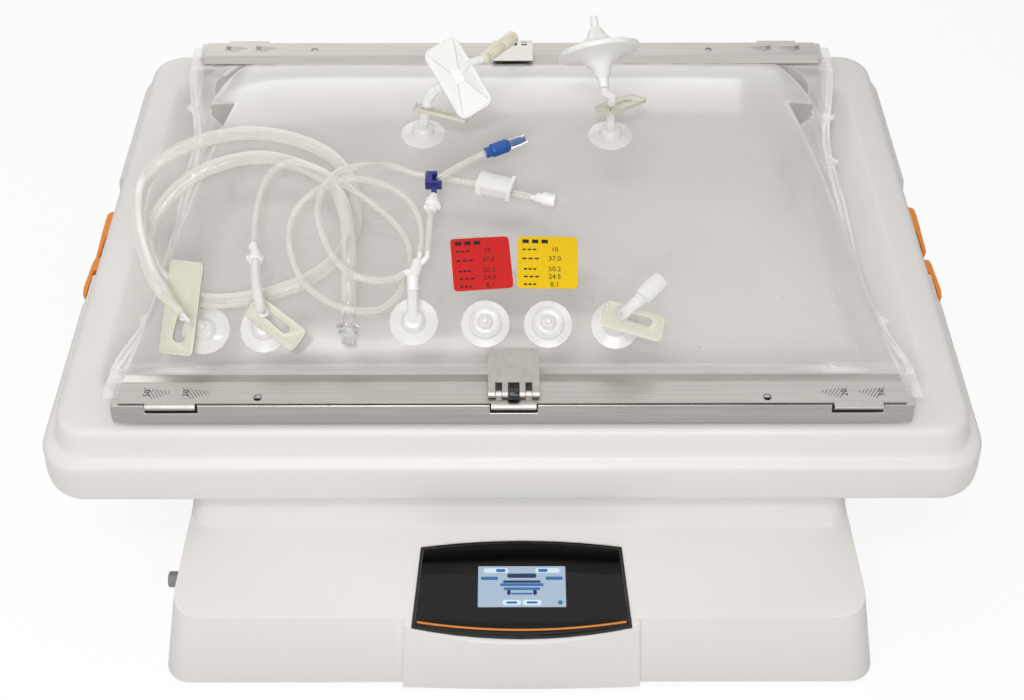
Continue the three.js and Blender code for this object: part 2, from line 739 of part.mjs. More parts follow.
// ---- Rails, clamp bars, latches -----------------------------------------------------------------
const RAIL_SHEET = 2;
const BAR_SHEET = 1.5;
const railFoot = TRAY_TOP + GAP;
const railProfile = [
  [RAIL_LIP[0] + 1, RAIL_LIP[1]],
  [RAIL_LIP[0] - 0.4, RAIL_LIP[1] + 7],
  [RAIL_OUT, 0],
  [RAIL_IN, 0],
  [RAIL_IN, railFoot],
  [RAIL_IN + 16, railFoot],
  [RAIL_IN + 16, railFoot + RAIL_SHEET],
  [RAIL_IN + RAIL_SHEET, railFoot + RAIL_SHEET],
  [RAIL_IN + RAIL_SHEET, -RAIL_SHEET],
  [RAIL_OUT - 1.2, -RAIL_SHEET],
  [RAIL_LIP[0] - 2.3, RAIL_LIP[1] + 6.4],
  [RAIL_LIP[0] - 0.9, RAIL_LIP[1]],
];
const barTop = BAR_LIFT + BAR_SHEET;
const stripRun = BAR_STRIP * Math.cos(BAR_STRIP_ANGLE);
const stripDrop = BAR_STRIP * Math.sin(BAR_STRIP_ANGLE);
const barProfile = [
  [BAR_HINGE[0], BAR_LIFT],
  [BAR_HINGE[0], barTop],
  [BAR_IN, barTop],
  [BAR_IN - stripRun, barTop - stripDrop],
  [BAR_IN - stripRun - 0.4, barTop - stripDrop - BAR_SHEET],
  [BAR_IN - 0.4, BAR_LIFT],
];

for (const [end, sy] of [["front", -1], ["rear", 1]]) {
  // A box, a rod and a swept profile given by distance out from the tray's middle line.
  const outBlock = (x, out, w) => block(x, sy > 0 ? out : [-out[1], -out[0]], w);
  const outRod = (x, [out, w], radius, sides) => rod([x[0], sy * out, w], [x[1], sy * out, w], radius, sides);
  const outSwept = (profile, x) => sweptX(profile.map(([out, w]) => [sy * out, w]), x[0], x[1]);
  const holes = [];
  for (const sx of [-1, 1]) {
    const out = sy > 0 ? 220 : 226.5;
    const x = sx * LOCATING_HOLE_X;
    holes.push(rod([x, sy * out, -5], [x, sy * out, 6], LOCATING_HOLE_RADIUS, 16));
  }

  const windows = TONGUES.map(([x, width]) =>
    outBlock([x - width / 2 - 1, x + width / 2 + 1], [BAR_HINGE[0] - TONGUE_RADIUS - 0.5, 245], [-6, 2]),
  );
  const rail = outSwept(railProfile, [-RAIL_LENGTH / 2, RAIL_LENGTH / 2]);
  place(`rail_${end}`, cut(rail, ...windows, ...holes), brushedSteel, tray);

  const hingeCurls = TONGUES.map(([x, width]) =>
    outRod([x - width / 2, x + width / 2], BAR_HINGE, TONGUE_RADIUS, 14),
  );
  const plate = outSwept(barProfile, [-BAR_LENGTH / 2, BAR_LENGTH / 2]);
  const outerTrim = [];
  const tongueEdges = TONGUES.flatMap(([x, w]) => [x - w / 2, x + w / 2]);
  const edges = [-BAR_LENGTH / 2 - 1, ...tongueEdges, BAR_LENGTH / 2 + 1];
  for (let i = 0; i < edges.length; i += 2) {
    outerTrim.push(outBlock([edges[i], edges[i + 1]], [BAR_HINGE[0] - 2.2, 240], [-6, 4]));
  }
  const knuckles = LATCH_KNUCKLES.flatMap(([a, b]) => [
    outRod([LATCH_X + a, LATCH_X + b], LATCH_PIN, LATCH_CURL_RADIUS, 14),
    outBlock(
      [LATCH_X + a, LATCH_X + b],
      [LATCH_PIN[0] - 2.4, LATCH_PIN[0] + 2.4],
      [barTop - 0.5, LATCH_PIN[1]],
    ),
  ]);
  const rollerRoom = ROLLER_HALF_WIDTH + 0.8;
  const rollerWindow = outBlock(
    [LATCH_X - rollerRoom, LATCH_X + rollerRoom],
    [LATCH_PIN[0] - 6, LATCH_PIN[0] + 6],
    [-1, 5],
  );
  const pinHole = outRod([LATCH_X - 30, LATCH_X + 30], LATCH_PIN, LATCH_PIN_RADIUS + RUNNING_GAP, 12);
  const hinged = cut(join(plate, ...hingeCurls), ...outerTrim);
  const bar = cut(join(hinged, ...knuckles), rollerWindow, pinHole, ...holes);
  place(`clamp_bar_${end}`, bar, brushedSteel, tray);

  const pinSpan = [LATCH_X - LATCH_HALF_WIDTH, LATCH_X + LATCH_HALF_WIDTH];
  const curlTop = LATCH_PIN[1] + LATCH_CURL_RADIUS;
  const leafProfile = [
    [LATCH_PIN[0], curlTop],
    [LATCH_END[0], LATCH_END[1]],
    [LATCH_END[0], LATCH_END[1] - LATCH_SHEET],
    [LATCH_PIN[0], curlTop - LATCH_SHEET - 0.2],
  ];
  const slots = [];
  for (let i = 0; i < LATCH_FINGERS.length - 1; i++) {
    const x = [LATCH_X + LATCH_FINGERS[i][1], LATCH_X + LATCH_FINGERS[i + 1][0]];
    slots.push(outBlock(x, [LATCH_ROOT, 240], [-2, 20]));
  }
  const leaf = join(
    outSwept(leafProfile, pinSpan),
    ...LATCH_FINGERS.map(([a, b]) => outRod([LATCH_X + a, LATCH_X + b], LATCH_PIN, LATCH_CURL_RADIUS, 14)),
  );
  place(`latch_leaf_${end}`, cut(leaf, pinHole, ...slots), satinSilver, tray);
  place(
    `latch_roller_${end}`,
    join(
      outRod(pinSpan, LATCH_PIN, LATCH_PIN_RADIUS, 12),
      outRod([LATCH_X - ROLLER_HALF_WIDTH, LATCH_X + ROLLER_HALF_WIDTH], LATCH_PIN, ROLLER_RADIUS, 20),
    ),
    darkRubber,
    tray,
  );
}

// ---- Side latches -------------------------------------------------------------------------------
// A flat outline in X and V, given for the right side and mirrored for the left.
function sidePiece(name, sx, points) {
  const outline = points.map(([x, v]) => new THREE.Vector2(sx * x, v));
  place(name, sweptZ(new THREE.Shape(outline), SIDE_LATCH_BOTTOM, SIDE_LATCH_TOP), orangePlastic, tray);
}
// How far each latch's nose stands from the end of its slot, and each catch from its own place.
const SIDES = [["left", -1, -5, 4], ["right", 1, 0, 0]];
for (const [side, sx, latchAt, catchAt] of SIDES) {
  const inner = NOTCH_WALL + GAP;
  sidePiece(`side_latch_${side}`, sx, [
    [384, latchAt - 17],
    [390.5, latchAt - 17],
    [390.5, latchAt + 43],
    [inner, latchAt + 43],
    [inner, latchAt + 28],
    [384, latchAt + 28],
  ]);
  sidePiece(`side_catch_${side}`, sx, [
    [inner, catchAt - 28],
    [391, catchAt - 28],
    [393.5, catchAt - 66],
    [392, catchAt - 75],
    [POCKET_WALL + GAP, catchAt - 75],
    [POCKET_WALL + GAP, NOTCH[0] + GAP],
    [inner, NOTCH[0] + GAP],
  ]);
}

// ---- Bag ----------------------------------------------------------------------------------------
const bagBottom = BED + GAP;

function bagTop(x, v) {
  const across = 1 - Math.abs(v / BAG_HALF[1]) ** BAG_POWER_ACROSS;
  const along = 1 - Math.abs(x / BAG_HALF[0]) ** BAG_POWER_ALONG;
  return BAG_RISE * Math.max(across, 0) * Math.max(along, 0);
}

// A point just above the bag, and the direction square to the bag there.
function onBag(x, v) {
  const dx = (bagTop(x + 1, v) - bagTop(x - 1, v)) / 2;
  const dv = (bagTop(x, v + 1) - bagTop(x, v - 1)) / 2;
  const normal = new THREE.Vector3(-dx, -dv, 1).normalize();
  const point = new THREE.Vector3(x, v, bagTop(x, v)).addScaledVector(normal, GAP);
  return { point: point.toArray(), normal: normal.toArray() };
}

const bagRings = [];
const BAG_RINGS = 20;
const BAG_STEPS = 16;
for (let i = 0; i <= BAG_RINGS; i++) {
  const s = (2 * i) / BAG_RINGS - 1;
  const x = BAG_HALF[0] * s * (1.5 - 0.5 * s * s);
  const points = [[x, -BAG_HALF[1], bagBottom]];
  for (let j = 0; j <= BAG_STEPS; j++) {
    const v = BAG_HALF[1] * ((2 * j) / BAG_STEPS - 1);
    points.push([x, v, bagTop(x, v)]);
  }
  points.push([x, BAG_HALF[1], bagBottom]);
  bagRings.push(points);
}
const bagLimit = loft([ring(BAG_HALF, 26, bagBottom - 1), ring(BAG_HALF, 26, BAG_RISE + 10)]);
place("bag", loft(bagRings).intersect(bagLimit), clearFilm, tray);

// ---- Ports --------------------------------------------------------------------------------------
const FLANGE_RADIUS = 20;
const TUBE_PORT = [
  [0, 0],
  [FLANGE_RADIUS, 0],
  [FLANGE_RADIUS, 0.6],
  [10.5, 2.2],
  [9.5, 7],
  [7, 9.5],
  [0, 9.5],
];
const LOW_PORT = [
  [0, 0],
  [FLANGE_RADIUS, 0],
  [FLANGE_RADIUS, 0.6],
  [9.5, 2.2],
  [8.5, 4.5],
  [6, 6.5],
  [0, 6.5],
];
const SENSOR_PORT = [
  [0, 0],
  [FLANGE_RADIUS, 0],
  [FLANGE_RADIUS, 1.2],
  [13.5, 2.4],
  [13, 6],
  [11.5, 7.5],
  [10, 6],
  [6.5, 6],
  [5, 11],
  [2.6, 12.5],
  [2.2, 16],
  [0, 16],
];

// A port's flange and boss on the bag, joined to its short tubes and their fittings.
function port(name, [x, v], profile, tubes = [], extras = []) {
  const { point, normal } = onBag(x, v);
  place(name, join(stood(turned(profile), point, normal), ...tubes, ...extras), naturalPlastic, tray);
}

// ---- Plate clamps -------------------------------------------------------------------------------
// Each is a plate with a slot that narrows; the short tube goes through the slot's narrow end.
const ACROSS = new THREE.Vector3(1, 0, 0);
const NEAR = new THREE.Vector3(0, -0.63, 0.777).normalize(); // towards a user standing in front
const UP = new THREE.Vector3().crossVectors(NEAR, ACROSS);

// A direction by its shares across, up and towards the user.
function seen(across, up, near) {
  const made = ACROSS.clone().multiplyScalar(across);
  return made.addScaledVector(UP, up).addScaledVector(NEAR, near).normalize();
}

const PLATE_CLAMPS = {
  hose: {
    centre: [-266.8, -162.9, 37.8],
    along: seen(0.127, 0.992, 0),
    normal: NEAR,
    half: [13.5, 38],
    thick: 4,
    tube: [1.1, -4.7],
    wide: [1, -23, 5],
  },
  inlet: {
    centre: [-189.5, -177.4, 35.6],
    along: seen(0.8, -0.6, 0),
    normal: NEAR,
    half: [10.5, 24.5],
    thick: 3,
    tube: [-2, -13],
    wide: [-1, 9, 3.6],
  },
  spare: {
    centre: [96.2, -180.7, 41.3],
    along: seen(0.96, -0.28, 0),
    normal: NEAR,
    half: [10.5, 24.5],
    thick: 3,
    tube: [-3, -10],
    wide: [-2.5, 11, 3.6],
  },
  gas_in: {
    centre: [-63, 35.6, 72.4],
    along: seen(0.97, -0.24, 0),
    normal: seen(0, 0.93, 0.37),
    half: [10.5, 24.5],
    thick: 3,
    tube: [0, -14],
    wide: [0, 8, 3.6],
  },
  gas_out: {
    centre: [97, 46, 74],
    along: seen(0.73, 0.355, -0.586),
    normal: seen(0, 0.86, 0.5),
    half: [10.5, 24.5],
    thick: 3,
    tube: [0, -12],
    wide: [0, 10, 3.6],
  },
};
const PINCH_RADIUS = 2.4;
const NECK = PINCH_RADIUS + 0.35;

// The plate's own frame: X across it, Y along it, Z square to it.
function clampFrame({ centre, along, normal }) {
  const z = normal.clone().addScaledVector(along, -normal.dot(along)).normalize();
  const x = new THREE.Vector3().crossVectors(along, z);
  return new THREE.Matrix4().makeBasis(x, along, z).setPosition(...centre);
}

// The point of a clamp's slot where its tube goes through, at a height off the plate's middle.
function atSlot(clamp, height) {
  const point = new THREE.Vector3(...clamp.tube, height);
  return point.applyMatrix4(clampFrame(clamp)).toArray();
}

for (const [name, clamp] of Object.entries(PLATE_CLAMPS)) {
  const [a, b] = clamp.half;
  const outline = ring(clamp.half, 3, 0, 0, 2).map(([x, y]) => new THREE.Vector2(x, y));
  const hole = new THREE.Shape();
  const [tubeX, tubeY] = clamp.tube;
  const [wideX, wideY, wideRadius] = clamp.wide;
  const down = wideY < tubeY ? 0 : 180;
  hole.absarc(tubeX, tubeY, NECK, down * DEG, (down + 180) * DEG);
  hole.absarc(wideX, wideY, wideRadius, (down + 170) * DEG, (down + 370) * DEG);
  const t = clamp.thick / 2;
  const plate = cut(sweptZ(new THREE.Shape(outline), -t, t), sweptZ(hole, -t - 1, t + 1, 6));
  const rims = [-1, 1].map((side) =>
    block([-a + 2, a - 2], [side * (b - 1.1) - 1.1, side * (b - 1.1) + 1.1], [-t - 0.8, t + 0.8]),
  );
  const made = join(plate, ...rims).transform(clampFrame(clamp).elements);
  place(`plate_clamp_${name}`, made, creamPlastic, tray);
}

// The tube behind a plate clamp, the pinched length in its slot and the tube in front of it.
function clampedTube(clamp, before, after, radius) {
  const back = -clamp.thick / 2 - 1.2;
  const front = clamp.thick / 2 + 1.2;
  const pieces = [rod(atSlot(clamp, back - 1), atSlot(clamp, front + 1), PINCH_RADIUS, 10)];
  pieces.push(rod(atSlot(clamp, back - 4), atSlot(clamp, back), radius + 0.4, 12));
  pieces.push(pipe([...before, atSlot(clamp, back - 7), atSlot(clamp, back - 2.5)], radius, 8, 6));
  if (after.length) {
    pieces.push(rod(atSlot(clamp, front), atSlot(clamp, front + 4), radius + 0.4, 12));
    pieces.push(pipe([atSlot(clamp, front + 2.5), atSlot(clamp, front + 7), ...after], radius, 8, 8));
  }
  return pieces;
}

// ---- Tubes --------------------------------------------------------------------------------------
const HOSE_ROUTE = [
  [-262.6, -176, 46.8], [-273.6, -166.3, 54.5], [-287, -148, 56], [-300, -119.5, 49.5], [-313, -88, 40],
  [-325, -54, 31], [-332, -24, 26], [-335, 12, 17], [-323, 30, 22], [-298, 34, 36],
  [-268, 35, 47.5], [-230, 32, 54.5], [-190, 18, 57.8], [-159, -3, 58], [-141, -31, 58],
  [-132.5, -62, 57], [-133, -90, 54], [-143, -114, 49.5], [-164, -134, 44], [-189, -145.5, 40.7],
  [-217, -151.5, 37.8], [-244, -151.5, 35], [-266, -145, 33.2], [-286, -128, 30.5], [-304, -98, 23],
  [-316, -65, 14], [-316, -43, 18], [-305, -28, 29], [-286, -15, 41.5], [-258, -3, 49],
  [-220, -2, 56], [-180, -19, 59.5], [-154, -47, 65], [-140, -80, 70.5], [-134, -108, 70],
  [-132.5, -129, 61], [-132.5, -145, 49], [-132.5, -158, 39.5], [-132.5, -167, 34],
];
const INLET_ROUTE = [
  [-212.5, -111, 57], [-214.5, -88, 56.5], [-215, -66, 58], [-212.5, -47, 61.5], [-206, -32, 65],
  [-192, -24, 68.5], [-170.5, -33.5, 72.5], [-142.5, -60, 78.8], [-117, -75.5, 70], [-97.5, -87, 57],
  [-86.5, -103.5, 49.5], [-84, -122.5, 45], [-89, -141, 40.5], [-97.5, -155.5, 37.5], [-110, -167.5, 40],
  [-128.5, -173.5, 47.5], [-147.5, -166, 48.5], [-166, -151.5, 53.5], [-179.5, -125, 56], [-184.5, -96.5, 60],
  [-177.5, -79.5, 70], [-162, -69.5, 79], [-141, -64, 85.6], [-120.5, -60, 81], [-102, -59.5, 72.5],
  [-87, -65, 62], [-78.5, -79.5, 56.5], [-75, -99, 55], [-75.5, -119, 55.5],
];
const BRANCH_ROUTE = [
  [-88, -141, 54.2], [-95, -147, 55], [-106, -153.5, 59.5], [-124, -153.5, 65], [-140.5, -140, 68],
  [-152.5, -118.5, 73], [-158, -99, 81.5], [-155.5, -80.5, 88.5], [-144.5, -63, 92.6], [-125.5, -48, 86],
  [-105, -25, 65], [-80.5, -27, 57], [-52.5, -31, 54.8], [-29, -37, 54.3], [-2.5, -45.5, 54],
  [16, -52, 54],
];
const SAMPLE_LINE = [[-69, -120, 58.5], [-68.5, -98, 60.5], [-68, -77, 62]];
place("big_tube", pipe(HOSE_ROUTE, HOSE_RADIUS, 10, 60), clearTube, tray);
place("thin_tube_1", pipe(INLET_ROUTE, LINE_RADIUS, 8, 52), clearTube, tray);
place("thin_tube_2", pipe(BRANCH_ROUTE, LINE_RADIUS, 8, 30), clearTube, tray);

// A point on the line through a tube's end, a gap beyond its first or last face.
function beyond(route, atEnd, distance) {
  const curve = new THREE.CatmullRomCurve3(route.map((p) => new THREE.Vector3(...p)));
  const tangent = curve.getTangent(atEnd ? 1 : 0);
  const end = new THREE.Vector3(...(atEnd ? route[route.length - 1] : route[0]));
  return end.addScaledVector(tangent, atEnd ? distance : -distance).toArray();
}

// ---- Ports and what they carry ------------------------------------------------------------------
function startOf([x, v], rise) {
  const { point, normal } = onBag(x, v);
  return point.map((value, i) => value + rise * normal[i]);
}

const { hose, inlet, spare, gas_in: gasIn, gas_out: gasOut } = PLATE_CLAMPS;
const FILTER_AXIS = new THREE.Vector3(-0.15, 0.77, 0.62).normalize();
const DISC_CENTRE = [77, 73.5, 110];
const DISC_HALF_LENGTH = 32;
const neckPoint = (distance) => DISC_CENTRE.map((value, i) => value - distance * FILTER_AXIS.getComponent(i));

const hoseFront = hose.thick / 2 + 1.2;
const hoseBarb = pipe(
  [
    atSlot(hose, hoseFront),
    beyond(HOSE_ROUTE, false, 9),
    beyond(HOSE_ROUTE, false, 4),
    beyond(HOSE_ROUTE, false, SEAT),
  ],
  PINCH_RADIUS - 0.5,
  8,
  12,
);
const HOSE_PORT = [-250, -169.5];
const INLET_PORT = [-202, -169.5];
port("port_hose", HOSE_PORT, LOW_PORT, clampedTube(hose, [startOf(HOSE_PORT, 4)], [], 5), [hoseBarb]);

const INLET_STUB = [[-199.5, -174, 57.5], [-203, -160, 61.5], [-207, -141, 59], [-208.6, -129.3, 57]];
const SAMPLE_STUB = [startOf([-80.5, -165], 6), [-80.8, -161, 35], [-80.6, -150.3, 44.8]];
port(
  "port_inlet",
  INLET_PORT,
  TUBE_PORT,
  clampedTube(inlet, [startOf(INLET_PORT, 6)], INLET_STUB, 4),
);
port("port_sample", [-80.5, -165], TUBE_PORT, [pipe(SAMPLE_STUB, STUB_RADIUS, 8, 6)]);
port("port_oxygen", [-22, -166.6], SENSOR_PORT);
port("port_acidity", [29, -167], SENSOR_PORT);

const capStart = [101.5, -174, 62];
const capEnd = [117, -160, 68];
port(
  "port_spare",
  [84, -167.5],
  TUBE_PORT,
  clampedTube(spare, [startOf([84, -167.5], 6)], [capStart], STUB_RADIUS),
  [rod(capStart, capEnd, 7.75, 20), rod([99, -176, 61], capStart, 6, 16)],
);
port(
  "port_gas_in",
  [-80, 34],
  TUBE_PORT,
  clampedTube(gasIn, [startOf([-80, 34], 6)], [[-66, 52, 87], [-56.4, 53.4, 90.3]], STUB_RADIUS),
);
port(
  "port_gas_out",
  [88.7, 31.6],
  TUBE_PORT,
  clampedTube(
    gasOut,
    [startOf([88.7, 31.6], 6)],
    [neckPoint(DISC_HALF_LENGTH + 5), neckPoint(DISC_HALF_LENGTH + SEAT)],
    4,
  ),
);

// ---- Filters ------------------------------------------------------------------------------------
const BOX_CENTRE = [-47, 49.5, 100];
const boxLong = seen(0.51, -0.86, 0);
const boxFrame = new THREE.Matrix4()
  .makeBasis(new THREE.Vector3().crossVectors(boxLong, NEAR), boxLong, NEAR)
  .setPosition(...BOX_CENTRE);
const atBox = (x, y, z) => new THREE.Vector3(x, y, z).applyMatrix4(boxFrame).toArray();
const boxBody = loft([
  ring([4, 6], 2, -8),
  ring([16, 33], 7, -2.4),
  ring([17, 34.5], 8, -2),
  ring([17, 34.5], 8, 2),
  ring([16, 33], 7, 2.4),
  ring([4, 6], 2, 8),
]).transform(boxFrame.elements);
place(
  "filter_box",
  join(
    boxBody,
    pipe([atBox(0, 0, -5), [-50, 54.5, 93], [-56, 53.5, 90.5]], 3.6, 10, 8),
    pipe([atBox(0, 0, 5), [-38, 58, 109], [-26, 66, 108]], 3.6, 10, 10),
    rod([-26, 66, 108], [2, 104, 104], 6.2, 16),
  ),
  naturalPlastic,
  tray,
);

const DISC_PROFILE = [
  [0, -DISC_HALF_LENGTH],
  [4.6, -DISC_HALF_LENGTH],
  [4.6, -24],
  [6.8, -22],
  [9, -14],
  [18, -6],
  [34, -3],
  [36.8, -2],
  [36.8, 2],
  [34, 3],
  [18, 6],
  [9, 14],
  [6, 20],
  [3.6, 22],
  [3.2, DISC_HALF_LENGTH],
  [0, DISC_HALF_LENGTH],
];
place(
  "filter_disc",
  stood(turned(DISC_PROFILE, 20), DISC_CENTRE, FILTER_AXIS.toArray()),
  naturalPlastic,
  tray,
);

// ---- Fittings -----------------------------------------------------------------------------------
const connectorStart = beyond(HOSE_ROUTE, true, SEAT);
place(
  "hose_connector",
  join(
    rod(connectorStart, beyond(HOSE_ROUTE, true, 24), 5.2, 16),
    rod(beyond(HOSE_ROUTE, true, 8), beyond(HOSE_ROUTE, true, 10.5), 9.2, 20),
    rod(beyond(HOSE_ROUTE, true, 13), beyond(HOSE_ROUTE, true, 15), 7.8, 20),
  ),
  clearPlastic,
  tray,
);

const luerEnd = beyond(INLET_ROUTE, false, SEAT);
place(
  "inlet_luer",
  join(
    rod(beyond(INLET_STUB, true, SEAT), beyond(INLET_STUB, true, 9), 5.6, 12),
    rod(beyond(INLET_STUB, true, 8), beyond(INLET_ROUTE, false, 4), 4, 12),
    rod(beyond(INLET_ROUTE, false, 5), luerEnd, 4, 12),
    block([-216.5, -203], [-126.5, -123.5], [54.5, 57.5]),
  ),
  naturalPlastic,
  tray,
);

const barb = (points, tip) => pipe([...points, tip], 2.4, 8, 6);
place(
  "y_fitting",
  join(
    rod(beyond(SAMPLE_STUB, true, SEAT), beyond(SAMPLE_STUB, true, 12), 5, 14),
    rod(beyond(SAMPLE_STUB, true, 9), [-77, -128, 55], 5, 14),
    barb([[-77.5, -131, 54], beyond(INLET_ROUTE, true, 5)], beyond(INLET_ROUTE, true, SEAT)),
    barb([[-77, -132, 54], [-69.4, -126, 58], [-69.1, -122, 58.2]], beyond(SAMPLE_LINE, false, SEAT)),
    barb([[-78.5, -137, 51], beyond(BRANCH_ROUTE, false, 4)], beyond(BRANCH_ROUTE, false, SEAT)),
  ),
  naturalPlastic,
  tray,
);
place("sample_line", pipe(SAMPLE_LINE, LINE_RADIUS, 8, 6), clearTube, tray);
place(
  "sample_luer",
  join(
    rod([-68, -76.7, 62], [-66.2, -59, 62], 4.4, 12),
    rod([-67.3, -70, 62], [-66.8, -65, 62], 6.4, 12),
    block([-74, -60], [-74, -71], [60.5, 63.5]),
  ),
  naturalPlastic,
  tray,
);
place(
  "sample_tee",
  cut(
    join(
      block([-74, -60], [-48.5, -34], [59.5, 68]),
      rod([-66.2, -58.7, 62.4], [-66.2, -47, 62.4], 2.4, 10),
    ),
    block([-68, -55], [-46, -37], [61.5, 70]),
    block([-64, -55], [-46, -30], [61.5, 70]),
  ),
  navyPlastic,
  tray,
);
place(
  "sample_valve",
  join(
    pipe([[-63, -41.5, 65], [-45, -26, 66.5], [-22, -9.5, 66.5]], 3, 10, 10),
    rod([-23, -10.1, 66.5], [-18, -7.1, 66.5], 5, 14),
    rod([-18.5, -7.4, 66.5], [-4, 0.2, 67], 6.4, 14),
    rod([-4.5, 0, 67], [6, 4.6, 67.6], 4.6, 14),
    rod([5.5, 4.3, 67.5], [13, 7.7, 68], 3.8, 14),
  ),
  bluePlastic,
  tray,
);

const clampTurn = Math.atan2(-8.5, 26.5);
const pinchBody = cut(
  join(
    block([-15.5, 15.5], [-8.5, 8.5], [-3.9, 9]),
    block([13, 16.5], [-8.5, 8.5], [7, 11.5]),
  ),
  block([-20, 20], [-3.9, 3.9], [-5, 3.9]),
  block([-11, 11], [-10, -6.4], [-5, 5.5]),
);
place(
  "pinch_clamp",
  pinchBody.rotate([0, 0, clampTurn / DEG]).translate([-14.5, -41.6, 54.2]),
  naturalPlastic,
  tray,
);
place(
  "branch_cap",
  join(
    rod(beyond(BRANCH_ROUTE, true, SEAT), [24, -54.6, 55.2], 2.6, 10),
    rod([21, -53.6, 55.2], [27, -55.7, 55.6], 4.4, 14),
    rod([26, -55.3, 55.6], [37, -59.2, 56.2], 5.6, 16),
  ),
  naturalPlastic,
  tray,
);

export default bioreactor;
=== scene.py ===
import math

import bpy
import numpy as np
from mathutils import Matrix, Vector


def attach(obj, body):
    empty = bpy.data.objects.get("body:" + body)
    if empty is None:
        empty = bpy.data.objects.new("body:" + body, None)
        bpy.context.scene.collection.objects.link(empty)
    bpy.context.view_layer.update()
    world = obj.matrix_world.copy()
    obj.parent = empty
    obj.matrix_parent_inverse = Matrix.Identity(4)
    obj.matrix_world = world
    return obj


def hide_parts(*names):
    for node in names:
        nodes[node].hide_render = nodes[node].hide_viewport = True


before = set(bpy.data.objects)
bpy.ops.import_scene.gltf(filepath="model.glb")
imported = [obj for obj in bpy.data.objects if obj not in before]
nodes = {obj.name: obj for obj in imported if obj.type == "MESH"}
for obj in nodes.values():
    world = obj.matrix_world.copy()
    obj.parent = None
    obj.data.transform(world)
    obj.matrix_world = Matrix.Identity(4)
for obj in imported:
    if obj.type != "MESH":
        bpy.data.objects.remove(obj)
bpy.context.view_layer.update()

# ---- Camera ----
# A standing user's view over the front edge of the bench, looking down into the tray, through a
# 42 mm lens on a 36 mm sensor. Colours are shown plainly, with no film curve.
camera_data = bpy.data.cameras.new("studio_camera")
camera_data.sensor_width = 36.0
camera_data.lens = 42.1875
camera = bpy.data.objects.new("studio_camera", camera_data)
camera.location = (-0.0019, -0.8919, 0.9184)
camera.rotation_euler = (math.radians(90 - 40.99), 0.0, math.radians(-0.12))
bpy.context.scene.collection.objects.link(camera)
bpy.context.scene.camera = camera
bpy.context.scene.view_settings.view_transform = "Standard"

# ---- Culture tubing ----
# Clear thermoplastic tube, extruded, pushed on barbs and left lying in loose loops on the bag.
# The hose is 12.4 mm outside; the lines are 5.4 mm. Routes are in the tray's own frame, in mm.
TRAY_TILT = math.radians(10)
SHAFT_BACK, SHAFT_HEIGHT, RAIL_PLANE = 0.0464, 0.2, 0.1015
MILLIMETRES = Matrix.Diagonal((0.001, 0.001, 0.001, 1))
TRAY = (
    Matrix.Translation((0, SHAFT_BACK, SHAFT_HEIGHT))
    @ Matrix.Rotation(TRAY_TILT, 4, "X")
    @ Matrix.Translation((0, 0, RAIL_PLANE))
    @ MILLIMETRES
)
HOSE_ROUTE = [
    (-262.6, -176, 46.8), (-273.6, -166.3, 54.5), (-287, -148, 56), (-300, -119.5, 49.5),
    (-313, -88, 40), (-325, -54, 31), (-332, -24, 26), (-335, 12, 17), (-323, 30, 22),
    (-298, 34, 36), (-268, 35, 47.5), (-230, 32, 54.5), (-190, 18, 57.8), (-159, -3, 58),
    (-141, -31, 58), (-132.5, -62, 57), (-133, -90, 54), (-143, -114, 49.5), (-164, -134, 44),
    (-189, -145.5, 40.7), (-217, -151.5, 37.8), (-244, -151.5, 35), (-266, -145, 33.2),
    (-286, -128, 30.5), (-304, -98, 23), (-316, -65, 14), (-316, -43, 18), (-305, -28, 29),
    (-286, -15, 41.5), (-258, -3, 49), (-220, -2, 56), (-180, -19, 59.5), (-154, -47, 65),
    (-140, -80, 70.5), (-134, -108, 70), (-132.5, -129, 61), (-132.5, -145, 49),
    (-132.5, -158, 39.5), (-132.5, -167, 34),
]
INLET_ROUTE = [
    (-212.5, -111, 57), (-214.5, -88, 56.5), (-215, -66, 58), (-212.5, -47, 61.5),
    (-206, -32, 65), (-192, -24, 68.5), (-170.5, -33.5, 72.5), (-142.5, -60, 78.8),
    (-117, -75.5, 70), (-97.5, -87, 57), (-86.5, -103.5, 49.5), (-84, -122.5, 45),
    (-89, -141, 40.5), (-97.5, -155.5, 37.5), (-110, -167.5, 40), (-128.5, -173.5, 47.5),
    (-147.5, -166, 48.5), (-166, -151.5, 53.5), (-179.5, -125, 56), (-184.5, -96.5, 60),
    (-177.5, -79.5, 70), (-162, -69.5, 79), (-141, -64, 85.6), (-120.5, -60, 81),
    (-102, -59.5, 72.5), (-87, -65, 62), (-78.5, -79.5, 56.5), (-75, -99, 55), (-75.5, -119, 55.5),
]
BRANCH_ROUTE = [
    (-88, -141, 54.2), (-95, -147, 55), (-106, -153.5, 59.5), (-124, -153.5, 65),
    (-140.5, -140, 68), (-152.5, -118.5, 73), (-158, -99, 81.5), (-155.5, -80.5, 88.5),
    (-144.5, -63, 92.6), (-125.5, -48, 86), (-105, -25, 65), (-80.5, -27, 57),
    (-52.5, -31, 54.8), (-29, -37, 54.3), (-2.5, -45.5, 54), (16, -52, 54),
]
SAMPLE_ROUTE = [(-69, -120, 58.5), (-68.5, -98, 60.5), (-68, -77, 62)]
TUBE_COLOUR = "fffdf4"


def linear(colour):
    """An sRGB hex colour as linear red, green, blue and alpha."""
    values = [int(colour[i : i + 2], 16) / 255 for i in (0, 2, 4)]
    return [v / 12.92 if v <= 0.04045 else ((v + 0.055) / 1.055) ** 2.4 for v in values] + [1.0]


def node(tree, kind, inputs=None, **settings):
    """Adds a node with its settings; an input is a value, or the socket that it is linked to."""
    made = tree.nodes.new(kind)
    for name, value in settings.items():
        setattr(made, name, value)
    for name, value in (inputs or {}).items():
        if isinstance(value, bpy.types.NodeSocket):
            tree.links.new(value, made.inputs[name])
        else:
            made.inputs[name].default_value = value
    return made


